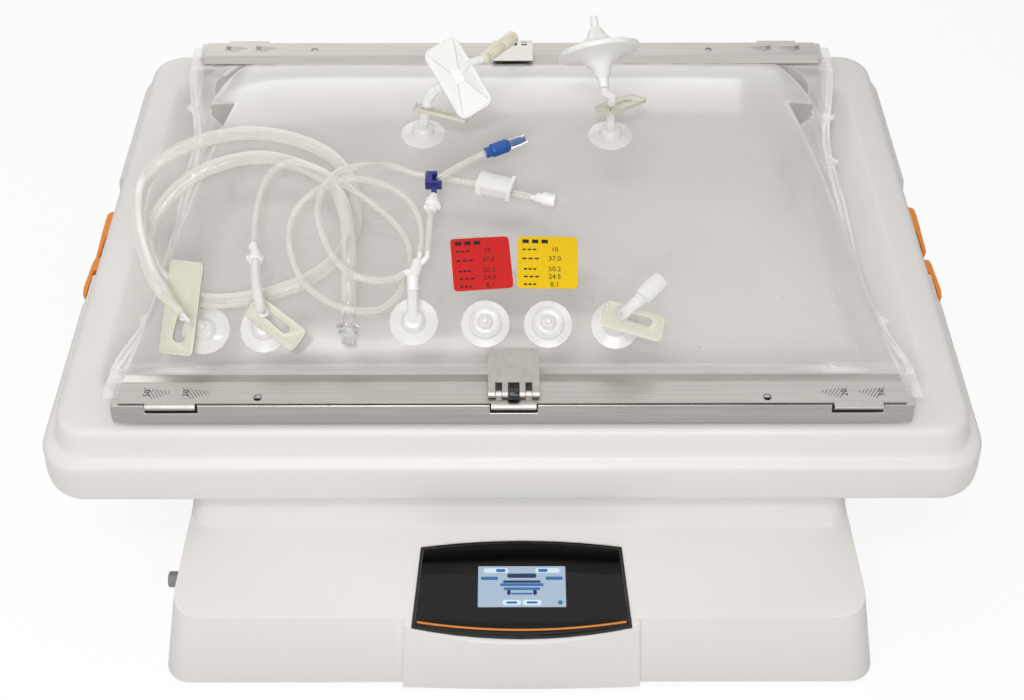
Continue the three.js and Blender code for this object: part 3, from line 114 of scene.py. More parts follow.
def blank(name):
    """A new material and its empty node tree."""
    made = bpy.data.materials.new(name)
    made.use_nodes = True
    made.node_tree.nodes.clear()
    return made, made.node_tree


def noise(tree, place, scale, detail, **more):
    """Soft noise over a surface, between 0 and 1."""
    sockets = {"Vector": place, "Scale": scale, "Detail": detail, **more}
    return node(tree, "ShaderNodeTexNoise", sockets).outputs["Fac"]


def spread(tree, value, low, high, start=0.0, end=1.0):
    """Brings a value that runs from start to end to one that runs from low to high."""
    sockets = {"Value": value, "From Min": start, "From Max": end, "To Min": low, "To Max": high}
    return node(tree, "ShaderNodeMapRange", sockets).outputs["Result"]


def blend(tree, share, one, other):
    """A colour between one and other, by a share."""
    return node(tree, "ShaderNodeMix", {"Factor": share, 6: one, 7: other}, data_type="RGBA").outputs[2]


def relief(tree, height, strength, depth):
    """The direction that a surface faces when a height dents it by a depth in metres."""
    sockets = {"Height": height, "Strength": strength, "Distance": depth}
    return node(tree, "ShaderNodeBump", sockets).outputs["Normal"]


def surface(tree, sockets):
    """The material's shader, linked to its output."""
    shader = node(tree, "ShaderNodeBsdfPrincipled", sockets)
    node(tree, "ShaderNodeOutputMaterial", {"Surface": shader.outputs["BSDF"]})


def plastic(name, colour, roughness, grain_mm, depth_mm, tone=0.04, **sockets):
    """A moulded or extruded plastic: an even colour, slightly cloudy, with a fine moulded grain."""
    made, tree = blank(name)
    place = node(tree, "ShaderNodeTexCoord").outputs["Object"]
    grain = noise(tree, place, 1000 / grain_mm, 3.0)
    cloud = noise(tree, place, 45.0, 2.0)
    full = linear(colour)
    dull = [c * (1 - 2 * tone) for c in full[:3]] + [1.0]
    made_of = {
        "Base Color": blend(tree, cloud, dull, full),
        "Roughness": spread(tree, grain, max(roughness - 0.05, 0.02), roughness + 0.06, 0.3, 0.7),
        "Normal": relief(tree, grain, 0.5, depth_mm / 1000),
        "IOR": 1.5,
    }
    surface(tree, {**made_of, **sockets})
    return made


def piece(name, points, faces, where, materials, body, replaced=(), smooth=40, inks=()):
    """A new mesh, given in a frame's own millimetres, that rides on a body; inks pick its materials."""
    mesh = bpy.data.meshes.new(name)
    mesh.from_pydata([where @ Vector(p) for p in points], [], faces)
    mesh.validate()
    made = bpy.data.objects.new(name, mesh)
    for material in materials if isinstance(materials, list) else [materials]:
        mesh.materials.append(material)
    for face, ink in zip(mesh.polygons, inks):
        face.material_index = ink
    bpy.context.scene.collection.objects.link(made)
    if smooth:
        mesh.shade_smooth()
        mesh.set_sharp_from_angle(angle=math.radians(smooth))
    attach(made, body)
    if replaced:
        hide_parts(*replaced)
    return made


def through(route, per_span):
    """The smooth curve through a route's points, with the same number of steps on each span."""
    p = [np.array(q, float) for q in route]
    p = [2 * p[0] - p[1]] + p + [2 * p[-1] - p[-2]]
    made = []
    for i in range(1, len(p) - 2):
        a, b, c, d = p[i - 1 : i + 3]
        before, span, after = (math.sqrt(np.linalg.norm(v)) for v in (b - a, c - b, d - c))
        out = ((b - a) / before - (c - a) / (before + span) + (c - b) / span) * span
        into = ((c - b) / span - (d - b) / (span + after) + (d - c) / after) * span
        for k in range(per_span):
            t = k / per_span
            rest = (-3 * b + 3 * c - 2 * out - into) * t**2 + (2 * b - 2 * c + out + into) * t**3
            made.append(b + out * t + rest)
    made.append(p[-2])
    return made


def frames_along(line):
    """Two directions square to a line at each of its points, carried along it without twist."""
    made = []
    side = None
    for i in range(len(line)):
        ahead = line[min(i + 1, len(line) - 1)] - line[max(i - 1, 0)]
        ahead = ahead / np.linalg.norm(ahead)
        if side is None:
            side = np.cross(ahead, (0, 0, 1.0))
        side = side - ahead * (side @ ahead)
        side = side / np.linalg.norm(side)
        made.append((side, np.cross(ahead, side)))
    return made


def tube(name, route, outside, inside, material, replaced, sides=24, per_span=6, pinched=0):
    """A hollow tube along a route: its outer wall, its bore and its two cut ends, one perhaps pinched."""
    line = through(route, per_span)
    points, faces = [], []
    for full in (outside, inside):
        for centre, (side, up) in zip(line, frames_along(line)):
            along = min(np.linalg.norm(centre - line[0]) / pinched, 1) if pinched else 1
            radius = full * (0.42 + 0.58 * along * along * (3 - 2 * along))
            for k in range(sides):
                turn = 2 * math.pi * k / sides
                points.append(centre + radius * (math.cos(turn) * side + math.sin(turn) * up))
    rings = len(line)
    bore = rings * sides
    for i in range(rings - 1):
        for k in range(sides):
            a, b = i * sides + k, i * sides + (k + 1) % sides
            faces.append((a, b, b + sides, a + sides))
            faces.append((bore + a, bore + a + sides, bore + b + sides, bore + b))
    last = (rings - 1) * sides
    for k in range(sides):
        n = (k + 1) % sides
        faces.append((k, bore + k, bore + n, n))
        faces.append((last + k, last + n, bore + last + n, bore + last + k))
    made = piece(name, points, faces, TRAY, material, "rocker", replaced)
    path = [TRAY @ Vector(p) for p in line]
    return made, path


glossy = {"Coat Weight": 0.8, "Coat Roughness": 0.06}
clear_tube = plastic("thermoplastic_tube_clear", TUBE_COLOUR, 0.1, 3.0, 0.01, 0.02, **glossy)
walls = clear_tube.node_tree
facing = node(walls, "ShaderNodeLayerWeight", {"Blend": 0.5}).outputs["Facing"]
wall = spread(walls, facing, 0.17, 0.72, 0.1, 0.75)
walls.links.new(wall, walls.nodes["Principled BSDF"].inputs["Alpha"])
HOSE_SETTLES = 1.6
lying = HOSE_ROUTE[:1] + [(x, v, z - HOSE_SETTLES) for x, v, z in HOSE_ROUTE[1:-2]] + HOSE_ROUTE[-2:]
LINE_OUTSIDE, LINE_BORE = 2.7, 1.5
hose, hose_path = tube("culture_hose", lying, 6.2, 4.3, clear_tube, ["big_tube"], 32, 8, 26)
inlet_line, inlet_path = tube("inlet_line", INLET_ROUTE, LINE_OUTSIDE, LINE_BORE, clear_tube, ["thin_tube_1"])
branch_line, branch_path = tube(
    "branch_line", BRANCH_ROUTE, LINE_OUTSIDE, LINE_BORE, clear_tube, ["thin_tube_2"]
)
tube("sample_line_tube", SAMPLE_ROUTE, LINE_OUTSIDE, LINE_BORE, clear_tube, ["sample_line"])

# ---- Fittings on the tubing ----
# Small moulded fittings: luers, Y piece, pinch clamp and cap in natural polypropylene, and a clear
# polycarbonate hose connector. They are pushed into or clipped over the tube.
waxy = {"Alpha": 0.95, "Coat Weight": 0.2, "Coat Roughness": 0.15}
natural_polypropylene = plastic("polypropylene_natural", "fbfaf6", 0.32, 5.0, 0.002, 0.015, **waxy)
see_through = {"Transmission Weight": 0.93}
clear_polycarbonate = plastic("polycarbonate_clear", "f2f3f1", 0.06, 2.0, 0.01, **see_through)


def soft_shading(limit):
    """A modifier's node group that shades a mesh smooth, apart from edges sharper than a limit."""
    group = bpy.data.node_groups.new(f"soft_shading_{limit}", "GeometryNodeTree")
    group.interface.new_socket("Geometry", in_out="INPUT", socket_type="NodeSocketGeometry")
    group.interface.new_socket("Geometry", in_out="OUTPUT", socket_type="NodeSocketGeometry")
    start = node(group, "NodeGroupInput")
    smooth = node(group, "GeometryNodeSetShadeSmooth", {"Geometry": start.outputs[0]}, domain="FACE")
    angle = node(group, "GeometryNodeInputMeshEdgeAngle")
    sharp = node(
        group,
        "FunctionNodeCompare",
        {0: angle.outputs["Unsigned Angle"], 1: math.radians(limit)},
        operation="GREATER_THAN",
    )
    edged = node(
        group,
        "GeometryNodeSetShadeSmooth",
        {"Geometry": smooth.outputs[0], "Selection": sharp.outputs[0], "Shade Smooth": False},
        domain="EDGE",
    )
    node(group, "NodeGroupOutput", {0: edged.outputs[0]})
    return group


SOFT_SHADING = {limit: soft_shading(limit) for limit in (12, 36)}


def dress(name, material, rounding_mm=0.0, segments=2, limit=36):
    """Gives a carried CAD node its material, rounded edges and smooth shading."""
    part = nodes[name]
    for place in part.material_slots:
        place.link = "OBJECT"
        place.material = material
    weld = part.modifiers.new("joined_corners", "WELD")
    weld.merge_threshold = 0.00001
    flat = part.modifiers.new("whole_faces", "DECIMATE")
    flat.decimate_type = "DISSOLVE"
    flat.angle_limit = math.radians(0.6)
    if rounding_mm:
        bevel = part.modifiers.new("rounded_edges", "BEVEL")
        bevel.width = rounding_mm / 1000
        bevel.segments = segments
        bevel.limit_method = "ANGLE"
        bevel.angle_limit = math.radians(36)
        bevel.use_clamp_overlap = True
    shading = part.modifiers.new("soft_shading", "NODES")
    shading.node_group = SOFT_SHADING[limit]
    return part


for name in ("inlet_luer", "y_fitting", "sample_luer", "branch_cap"):
    dress(name, natural_polypropylene, 0.25)
dress("pinch_clamp", natural_polypropylene, 0.5)
dress("hose_connector", clear_polycarbonate, 0.3)

# ---- Sample valve ----
# A needle-free sampling valve: blue polycarbonate body with a clear end cap, on a short tube from
# a navy ABS tee that clips on to the sample luer.
navy_abs = plastic("abs_navy", "25247a", 0.3, 0.8, 0.01)
blue_polycarbonate = plastic("polycarbonate_blue", "0b50a0", 0.2, 3.0, 0.01, 0.03)
dress("sample_tee", navy_abs, 0.4)


def lathed(name, start, end, profile, material, body, sides=40, replaced=()):
    """A turned piece between two points of the tray's frame, by distance along it and radius."""
    start, end = np.array(start, float), np.array(end, float)
    ahead = (end - start) / np.linalg.norm(end - start)
    side = np.cross(ahead, (0, 0, 1.0))
    side /= np.linalg.norm(side)
    up = np.cross(ahead, side)
    points, faces = [start + ahead * profile[0][0], start + ahead * profile[-1][0]], []
    for along, radius in profile:
        for k in range(sides):
            turn = 2 * math.pi * k / sides
            off = radius * (math.cos(turn) * side + math.sin(turn) * up)
            points.append(start + ahead * along + off)
    for k in range(sides):
        n = (k + 1) % sides
        faces.append((0, 2 + n, 2 + k))
        for r in range(len(profile) - 1):
            a, b = 2 + r * sides + k, 2 + r * sides + n
            faces.append((a, b, b + sides, a + sides))
        last = 2 + (len(profile) - 1) * sides
        faces.append((1, last + k, last + n))
    return piece(name, points, faces, TRAY, material, body, replaced)


VALVE_STEM = [(-63, -41.5, 65), (-54, -33.7, 66.1), (-45, -26, 66.5), (-33.5, -17.5, 66.6), (-22, -9.5, 66.5)]
tube("valve_tube", VALVE_STEM, LINE_OUTSIDE, LINE_BORE, clear_tube, ["sample_valve"], 20, 5)
lathed(
    "valve_body",
    (-23, -10.1, 66.5),
    (6, 4.6, 67.6),
    [(0, 3.4), (0.4, 4.6), (3.6, 4.9), (4.6, 4.3), (5.6, 5.6), (7, 6.2), (9, 5.9), (11, 6.3), (13, 5.9),
     (15, 6.3), (17, 5.9), (19.2, 6.3), (21, 6.0), (22, 4.9), (23, 4.5)],
    blue_polycarbonate,
    "rocker",
)
lathed(
    "valve_tip",
    (-2.4, 0.7, 67.1),
    (13, 7.7, 68),
    [(0, 4.3), (2, 4.5), (4, 4.1), (5.4, 4.5), (7, 4.1), (8.4, 4.5), (10, 4.0), (12, 3.8),
     (16, 3.7), (16.8, 3.2)],
    clear_polycarbonate,
    "rocker",
)
lathed(
    "valve_needle_seat",
    (-1.0, 1.4, 67.15),
    (13, 7.7, 68),
    [(0, 2.0), (10, 2.0), (11, 1.6), (13.2, 1.5)],
    blue_polycarbonate,
    "rocker",
    20,
)

# ---- Tray ----
# A deep tray of white powder-coated aluminium sheet with a stepped skirt. Its bed holds the bag,
# its rim carries the clamp rails, and a notch in each end takes a side latch.
TRAY_WHITE = "e9e6e2"
STEPS = 14


def rounded(half_x, half_y, radius, height, steps=STEPS):
    """A rectangle with round corners, as a ring of points at a height."""
    points = []
    for corner in range(4):
        sx = 1 if corner in (0, 3) else -1
        sy = 1 if corner < 2 else -1
        for i in range(steps + 1):
            turn = math.radians(90 * (corner + i / steps))
            x = sx * (half_x - radius) + radius * math.cos(turn)
            y = sy * (half_y - radius) + radius * math.sin(turn)
            points.append((x, y, height))
    return points


def skin(rings):
    """The points and faces of a closed skin over a run of rings of equal count."""
    count = len(rings[0])
    points = [p for ring in rings for p in ring]
    faces = []
    for r in range(len(rings) - 1):
        for i in range(count):
            n = (i + 1) % count
            faces.append((r * count + i, r * count + n, (r + 1) * count + n, (r + 1) * count + i))
    last = (len(rings) - 1) * count
    faces.append(tuple(range(count - 1, -1, -1)))
    faces.append(tuple(range(last, last + count)))
    return points, faces


# Half length, half width, corner radius and height of each ring, from the middle of the bed
# outwards over the rim, down the skirt and back up the inside.
TRAY_RINGS = [
    (312, 192, 16, -38.0), (318, 198, 20, -37.4), (321.5, 201.2, 22, -35.6), (326, 202.4, 23, -33.6),
    (330, 203, 24, -31.5), (338, 204, 25, -26.4), (341.5, 204.6, 26, -24.0), (344, 205.2, 27, -22.5),
    (346.5, 207, 28, -22.0), (366, 236.5, 26, -22.0), (369.5, 239.8, 27, -22.6), (372.3, 242.4, 28, -24.0),
    (374.2, 244.2, 29, -26.6), (375.4, 245.4, 29.5, -30.0), (379, 249, 31.5, -45.5),
    (380.4, 250.4, 32, -48.6), (382.4, 251.8, 32.6, -50.2), (385.6, 254.2, 33.5, -50.9),
    (388.6, 256.6, 34.6, -51.9), (390.9, 258.4, 35.6, -54.2), (392.2, 259.2, 36.4, -57.5),
    (396, 260.8, 39, -76), (398.6, 261.8, 41.6, -91), (398.7, 261.8, 41.8, -92.8),
    (397.9, 261, 41.2, -93.8), (396.8, 260, 40.4, -94), (395.2, 258.2, 38.6, -93.4),
    (388.2, 254.2, 34, -58), (384, 250, 32, -55), (376, 246, 29, -54), (371, 241, 26, -27),
    (350, 210, 30, -26.5), (334, 208, 28, -42),
]
powder_white, tree = blank("powder_coated_aluminium_white")
place = node(tree, "ShaderNodeTexCoord").outputs["Object"]
peel = noise(tree, place, 720.0, 2.0, Roughness=0.55)
full = linear(TRAY_WHITE)
dull = [c * 0.955 for c in full[:3]] + [1.0]
surface(
    tree,
    {
        "Base Color": blend(tree, noise(tree, place, 9.0, 3.0), dull, full),
        "Roughness": spread(tree, peel, 0.34, 0.5, 0.3, 0.7),
        "Normal": relief(tree, peel, 0.35, 0.00025),
        "IOR": 1.5,
    },
)
tray_points, tray_faces = skin([rounded(*ring) for ring in TRAY_RINGS])
tray = piece("tray", tray_points, tray_faces, TRAY, powder_white, "rocker", ["tray_shell"], 50)


def hexahedron(low, high, slant=0.0):
    """A box from low to high whose +X or -X face leans out by slant at its foot."""
    (x0, y0, z0), (x1, y1, z1) = low, high
    out = (slant, 0) if x1 > 0 else (0, slant)
    points = [
        (x0 - out[1], y0, z0), (x1 + out[0], y0, z0), (x1 + out[0], y1, z0), (x0 - out[1], y1, z0),
        (x0, y0, z1), (x1, y0, z1), (x1, y1, z1), (x0, y1, z1),
    ]
    faces = [(0, 3, 2, 1), (4, 5, 6, 7), (0, 1, 5, 4), (1, 2, 6, 5), (2, 3, 7, 6), (3, 0, 4, 7)]
    return points, faces


def carve(target, solids, operation):
    """Joins solids to a mesh or cuts them out of it, in the tray's frame."""
    for points, faces in solids:
        mesh = bpy.data.meshes.new("tool")
        mesh.from_pydata([TRAY @ Vector(p) for p in points], [], faces)
        tool = bpy.data.objects.new("tool", mesh)
        bpy.context.scene.collection.objects.link(tool)
        change = target.modifiers.new("change", "BOOLEAN")
        change.operation = operation
        change.solver = "EXACT"
        change.object = tool
        bpy.context.view_layer.update()
        evaluated = target.evaluated_get(bpy.context.evaluated_depsgraph_get())
        result = bpy.data.meshes.new_from_object(evaluated)
        target.modifiers.remove(change)
        target.data = result
        bpy.data.objects.remove(tool)


def both_ends(boxes):
    """Boxes at both ends of the tray, from distances out, places along, heights and slant."""
    made = []
    for end in (-1, 1):
        for near, far, v0, v1, z0, z1, slant in boxes:
            x0, x1 = (near, far) if end > 0 else (-far, -near)
            made.append(hexahedron((x0, v0, z0), (x1, v1, z1), slant))
    return made


LININGS = (
    (375.4, 389.5, -49, 91, -93.2, -52, 7.5),
    (369.5, 375.6, -43, 24.5, -93, -31, 0.0),
    (384.6, 390, -82, -46, -75, -52, 3.5),
)
NOTCHES = (
    (381, 412, -45, 87, -96, -45, 0.0),
    (375.2, 412, -39, 19.5, -97, -20, 0.0),
    (377.5, 412, 86, 94, -53, -44, 0.0),
    (388.6, 412, -78, -44, -71, -49, 0.0),
)
carve(tray, both_ends(LININGS), "UNION")
carve(tray, both_ends(NOTCHES), "DIFFERENCE")
tray.data.shade_smooth()
tray.data.set_sharp_from_angle(angle=math.radians(50))

# ---- Bed pads ----
# A low pad with rounded corners stands on the bed at each end, under the bag's end seam. It is
# coated white like the tray and fixed to the bed.


def add(points, faces, more_points, more_faces):
    """Adds one mesh's points and faces to another's."""
    start = len(points)
    points += more_points
    faces += [tuple(start + i for i in f) for f in more_faces]


PAD_RINGS = ((13, 20, 4, -37.9), (13, 20, 4, -36.2), (12.2, 19.2, 3.4, -35.6))
points, faces = [], []
for x, v in ((-307, -37), (307, -37)):
    rings = [[(x + p[0], v + p[1], p[2]) for p in rounded(*ring, 6)] for ring in PAD_RINGS]
    add(points, faces, *skin(rings))
piece("bed_pads", points, faces, TRAY, powder_white, "rocker")

# ---- Base housing ----
# A white powder-coated housing with leaning sides: a sloping deck and a bowed console in front, and
# a tower behind that carries the shaft. It stands on four rubber feet under a steel plate.
dress("base_shell", powder_white, 3.2, 3)
satin_steel, tree = blank("stainless_steel_satin")
cloud = noise(tree, node(tree, "ShaderNodeTexCoord").outputs["Object"], 160.0, 4.0)
tone = blend(tree, cloud, linear("8b8883"), linear("a9a6a1"))
surface(tree, {"Base Color": tone, "Roughness": spread(tree, cloud, 0.2, 0.42), "Metallic": 1.0})
dress("base_plate", satin_steel, 0.5)
rubber = plastic("rubber_black", "1b1b1c", 0.62, 0.5, 0.03)
for name in ("foot_front_left", "foot_front_right", "foot_rear_left", "foot_rear_right"):
    dress(name, rubber, 0.8)

# ---- Touch panel ----
# A black gloss ABS bezel round an acrylic cover, let into the sloping deck. The small colour screen
# that shows in the cover is drawn as thin plates on it; an orange line follows the bowed edge.
DECK_SLOPE = math.radians(16.5)
PANEL_PLACE = (0.0075, SHAFT_BACK - 0.3262875, 0.0895)
DECK = Matrix.Translation(PANEL_PLACE) @ Matrix.Rotation(DECK_SLOPE, 4, "X") @ MILLIMETRES
GLASS_TOP = 1.8
PRINT_DEPTH = 0.2
gloss_black = plastic("acrylic_gloss_black", "0a0909", 0.06, 4.0, 0.002, **{"Specular IOR Level": 0.22})
dress("panel_glass", gloss_black, 0.25)
abs_black = plastic("abs_gloss_black", "110f0e", 0.16, 0.7, 0.01, **{"Specular IOR Level": 0.35})
dress("panel_bezel", abs_black, 0.5, 3)


def print_ink(name, colour, roughness=0.4, glow=0.0):
    """A thin print: an even colour, a little cloudy, level with what it is printed on."""
    light = {"Emission Color": linear(colour), "Emission Strength": glow, "Specular IOR Level": 0.2}
    return plastic(name, colour, roughness, 1.5, 0.002, 0.015, **light)


def patch(parts, bottom):
    """Flat plates with thin edges, from outlines, levels and inks, as points, faces and inks."""
    points, faces, inks = [], [], []
    for outline, level, ink in parts:
        start, count = len(points), len(outline)
        points += [(x, y, level) for x, y in outline] + [(x, y, bottom) for x, y in outline]
        faces.append(tuple(range(start, start + count)))
        for i in range(count):
            n = (i + 1) % count
            faces.append((start + i, start + count + i, start + count + n, start + n))
        inks += [ink] * (count + 1)
    return points, faces, inks


def pill(x, y, half_x, half_y, radius):
    """A flat rectangle with round corners, anticlockwise."""
    return [(x + p[0], y + p[1]) for p in rounded(half_x, half_y, radius, 0, 4)]


def bowed(x0, x1, across, thick, sag, steps=36):
    """A line that bows towards the user in the middle: a thin strip of even thickness."""
    upper, lower = [], []
    for i in range(steps + 1):
        share = 2 * i / steps - 1
        x = x0 + (x1 - x0) * i / steps
        y = across - sag * (1 - share * share)
        lower.append((x, y - thick / 2))
        upper.append((x, y + thick / 2))
    return lower + upper[::-1]


screen_blue = print_ink("screen_pale_blue", "a9bbcf", 0.2, 0.08)
screen_light = print_ink("screen_white", "cfe0ee", 0.2, 0.15)
screen_mid = print_ink("screen_mid_blue", "3b6fa6", 0.2, 0.08)
screen_dark = print_ink("screen_dark_blue", "1d3c60", 0.2, 0.05)
accent_orange = print_ink("ink_orange", "dd8a3e", 0.25)
strip_brown = print_ink("ink_warm_black", "2b2522", 0.25)
SCREEN = (0.3, 26.7, 37.2, 18.25)
sx, sy, half_x, half_y = SCREEN
screen_parts = [(pill(sx, sy, half_x, half_y, 0.8), GLASS_TOP + 0.04, 0)]
for px, py, hx, hy, ink in (
    (-22, 14.4, 10.5, 2.1, 1), (22, 14.4, 10.5, 2.1, 1), (-18, 14.4, 4.0, 1.4, 2), (18, 14.4, 4.0, 1.4, 2),
    (0, 9.7, 12.5, 2.0, 3), (-27.6, 7.4, 7.4, 1.5, 2), (27.6, 7.4, 7.4, 1.5, 2),
    (0, 4.4, 16.0, 1.1, 3), (0, 1.6, 18.5, 1.3, 2), (0, -2.0, 15.5, 1.2, 2), (-11, -5.2, 1.6, 2.4, 3),
    (11, -5.2, 1.6, 2.4, 3), (0, -6.4, 9.0, 0.8, 2), (-8.6, -14.2, 7.8, 2.4, 1), (8.6, -14.2, 7.8, 2.4, 1),
    (-8.6, -14.2, 4.6, 1.0, 2), (8.6, -14.2, 4.6, 1.0, 2), (32.4, -14.2, 1.9, 1.9, 2),
):
    outline = pill(sx + px, sy + py, hx, hy, min(hx, hy) * 0.9)
    screen_parts.append((outline, GLASS_TOP + 0.08 + 0.04 * (ink == 2), ink))
points, faces, inks = patch(screen_parts, GLASS_TOP - PRINT_DEPTH)
screen_inks = [screen_blue, screen_light, screen_mid, screen_dark]
piece("touch_screen", points, faces, DECK, screen_inks, "base", inks=inks)
strips = [
    (bowed(-87.5, 87.5, -4.4, 1.7, 6.9), GLASS_TOP + 0.05, 0),
    (bowed(-88.0, 88.0, -6.2, 1.3, 8.3), GLASS_TOP + 0.05, 1),
]
points, faces, inks = patch(strips, GLASS_TOP - PRINT_DEPTH)
strip_inks = [accent_orange, strip_brown]
piece("accent_line", points, faces, DECK, strip_inks, "base", inks=inks)

# ---- Button and mains inlet ----
# A moulded grey polyamide push button slides in the left wall. The rear wall holds a moulded black
# mains inlet with three flat pins of nickelled brass.
dress("power_button", plastic("polyamide_grey", "84868a", 0.45, 0.4, 0.02), 0.8, 3)
dress("rear_inlet", plastic("polyamide_black", "1a1a1b", 0.42, 0.4, 0.02), 0.6)
brass = plastic("brass_nickelled", "b9b2a0", 0.3, 1.0, 0.01, Metallic=1.0)
INLET_X, INLET_Z = -164, 60
PIN_ROOT, PIN_TIP = 260.8, 270.6
PIN_HALF_WIDE, PIN_HALF_HIGH = 0.9, 2.2
points, faces = [], []
for px, pz in ((-7, -2.5), (7, -2.5), (0, 3.5)):
    x, z = INLET_X + px, INLET_Z + pz
    low = (x - PIN_HALF_WIDE, PIN_ROOT, z - PIN_HALF_HIGH)
    high = (x + PIN_HALF_WIDE, PIN_TIP, z + PIN_HALF_HIGH)
    add(points, faces, *hexahedron(low, high))
piece("inlet_pins", points, faces, MILLIMETRES, brass, "base")

# ---- Drive ----
# Under the tray: a ground steel shaft in cast aluminium bearing blocks, a cut steel sector and
# pinion, a gearmotor, its control board, and the cradle that carries the heated tray.
cast_aluminium = plastic("aluminium_die_cast", "a6a8aa", 0.42, 1.1, 0.06, 0.06, Metallic=1.0)
for name in ("bearing_block_left", "bearing_block_right", "drive_motor", "cradle"):
    dress(name, cast_aluminium, 1.0)
for name in ("motor_pinion", "rocker_shaft", "sector_gear"):
    dress(name, satin_steel, 0.2)
dress("heater_plate", plastic("silicone_rubber_black", "232323", 0.7, 0.8, 0.03), 0.4)
dress("control_board", plastic("glass_epoxy_green", "1f5a38", 0.35, 0.9, 0.01), 0.2)

# ---- Clamp rails, bars and latches ----
# Folded stainless strip, brushed lengthways. Each bar hinges on its rail's outer edge and pins the
# bag's welded edge down; a small latch leaf on a rubber roller snaps under the bag's edge.


def maths(tree, operation, *values, **settings):
    """The result of an operation on values or sockets."""
    inputs = dict(enumerate(values))
    return node(tree, "ShaderNodeMath", inputs, operation=operation, **settings).outputs[0]


brushed_steel, tree = blank("stainless_steel_brushed")
place = node(tree, "ShaderNodeTexCoord").outputs["Object"]
drawn = node(tree, "ShaderNodeMapping", {"Vector": place, "Scale": (9.0, 2200.0, 2200.0)})
hair = noise(tree, drawn.outputs["Vector"], 1.0, 4.0)
both = maths(tree, "MULTIPLY", hair, noise(tree, place, 14.0, 2.0))
surface(
    tree,
    {
        "Base Color": blend(tree, hair, linear("8a8783"), linear("bcb9b4")),
        "Roughness": spread(tree, both, 0.24, 0.44, 0.1, 0.45),
        "Normal": relief(tree, hair, 0.25, 0.00004),
        "Metallic": 1.0,
        "Anisotropic": 0.5,
    },
)
roller_rubber = plastic("rubber_gloss_black", "101010", 0.2, 1.5, 0.01)
for end in ("front", "rear"):
    dress(f"rail_{end}", brushed_steel, 0.3, 1, 12)
    dress(f"clamp_bar_{end}", brushed_steel, 0.2, 1, 12)
    dress(f"latch_leaf_{end}", satin_steel, 0.15, 1, 12)
    dress(f"latch_roller_{end}", roller_rubber, 0.6)

# ---- Position marks ----
# Etched on each bar near its ends: fans of fine strokes with a plain number beside them, which
# show where bags of different sizes are clamped. They are flat faces just above the steel.
BAR_TOP, BAR_MIDDLE = 2.2, 222.3
STROKE_LEVEL, DIGIT_LEVEL = BAR_TOP + 0.06, BAR_TOP + 0.07


def number_mesh(text, height_mm):
    """A plain number as a flat mesh in millimetres, centred on its own middle."""
    words = bpy.data.curves.new("number", "FONT")
    words.body = text
    words.size = height_mm
    words.align_x = "CENTER"
    words.align_y = "CENTER"
    words.resolution_u = 3
    holder = bpy.data.objects.new("number", words)
    bpy.context.scene.collection.objects.link(holder)
    bpy.context.view_layer.update()
    mesh = bpy.data.meshes.new_from_object(holder.evaluated_get(bpy.context.evaluated_depsgraph_get()))
    points = [tuple(v.co) for v in mesh.vertices]
    faces = [tuple(p.vertices) for p in mesh.polygons]
    bpy.data.objects.remove(holder)
    return points, faces


etched = print_ink("etched_steel_dark", "2c2b2a", 0.5)
MARKS = ((-285.5, "50"), (-254.5, "20"), (259, "20"), (288.5, "50"))
for end, sy in (("front", -1), ("rear", 1)):
    middle = sy * BAR_MIDDLE
    points, faces = [], []
    for x, number in MARKS:
        inward = -1 if x > 0 else 1
        for k in range(7):
            foot = x + inward * (2.2 * k - 1.5)
            low, high = middle - 5.6 + 0.9 * k, middle + 5.6 - 0.55 * k
            head = foot - inward * (high - low) * 0.72
            stroke = ((foot - 0.28, low), (foot + 0.28, low), (head + 0.28, high), (head - 0.28, high))
            add(points, faces, [(*p, STROKE_LEVEL) for p in stroke], [(0, 1, 2, 3)])
        digits, digit_faces = number_mesh(number, 7.0)
        turned = [(x - inward * 6.5 - p[1], middle + p[0], DIGIT_LEVEL) for p in digits]
        add(points, faces, turned, digit_faces)
    piece(f"bar_marks_{end}", points, faces, TRAY, etched, f"bar_{end}", smooth=0)

# ---- Side latches ----
# Orange moulded ABS slides in the notches at the tray's ends, each with its fixed catch. Both are
# flat mouldings with softly rounded edges.
orange_abs = plastic("abs_orange", "f28c1c", 0.32, 0.6, 0.015, **{"Subsurface Weight": 0.05})
HOOK = [
    (381.4, 43), (387, 43), (389.6, 41.8), (391, 39), (391.4, 34), (391.3, 18), (390.7, -2),
    (390.3, -17), (387.2, -17), (387, -4), (386.4, 8), (385.2, 14), (383.6, 17.2), (381.4, 18),
]
CATCH = [
    (381.4, -33), (382.4, -28.4), (384.8, -26), (390.4, -27.6), (391.6, -33), (393.3, -64),
    (392, -74), (389.3, -74), (389, -52), (388.9, -44.6), (385.6, -41.8), (381.4, -40.4),
]
LATCH_LEVELS = (-66.0, -50.6)
for side, sx, hook_at, catch_at in (("left", -1, -5, 4), ("right", 1, 0, 0)):
    for name, outline, shift, body in (
        ("side_latch_" + side, HOOK, hook_at, "latch_" + side),
        ("side_catch_" + side, CATCH, catch_at, "rocker"),
    ):
        turned = outline if sx < 0 else outline[::-1]
        points, faces = skin([[(sx * x, v + shift, z) for x, v in turned] for z in LATCH_LEVELS])
        moulded = piece(
            name + "_moulding", points, faces, TRAY, orange_abs, body, [name], 50
        )
        edges = moulded.modifiers.new("rounded_edges", "BEVEL")
        edges.width = 0.0006
        edges.segments = 3
        edges.angle_limit = math.radians(50)

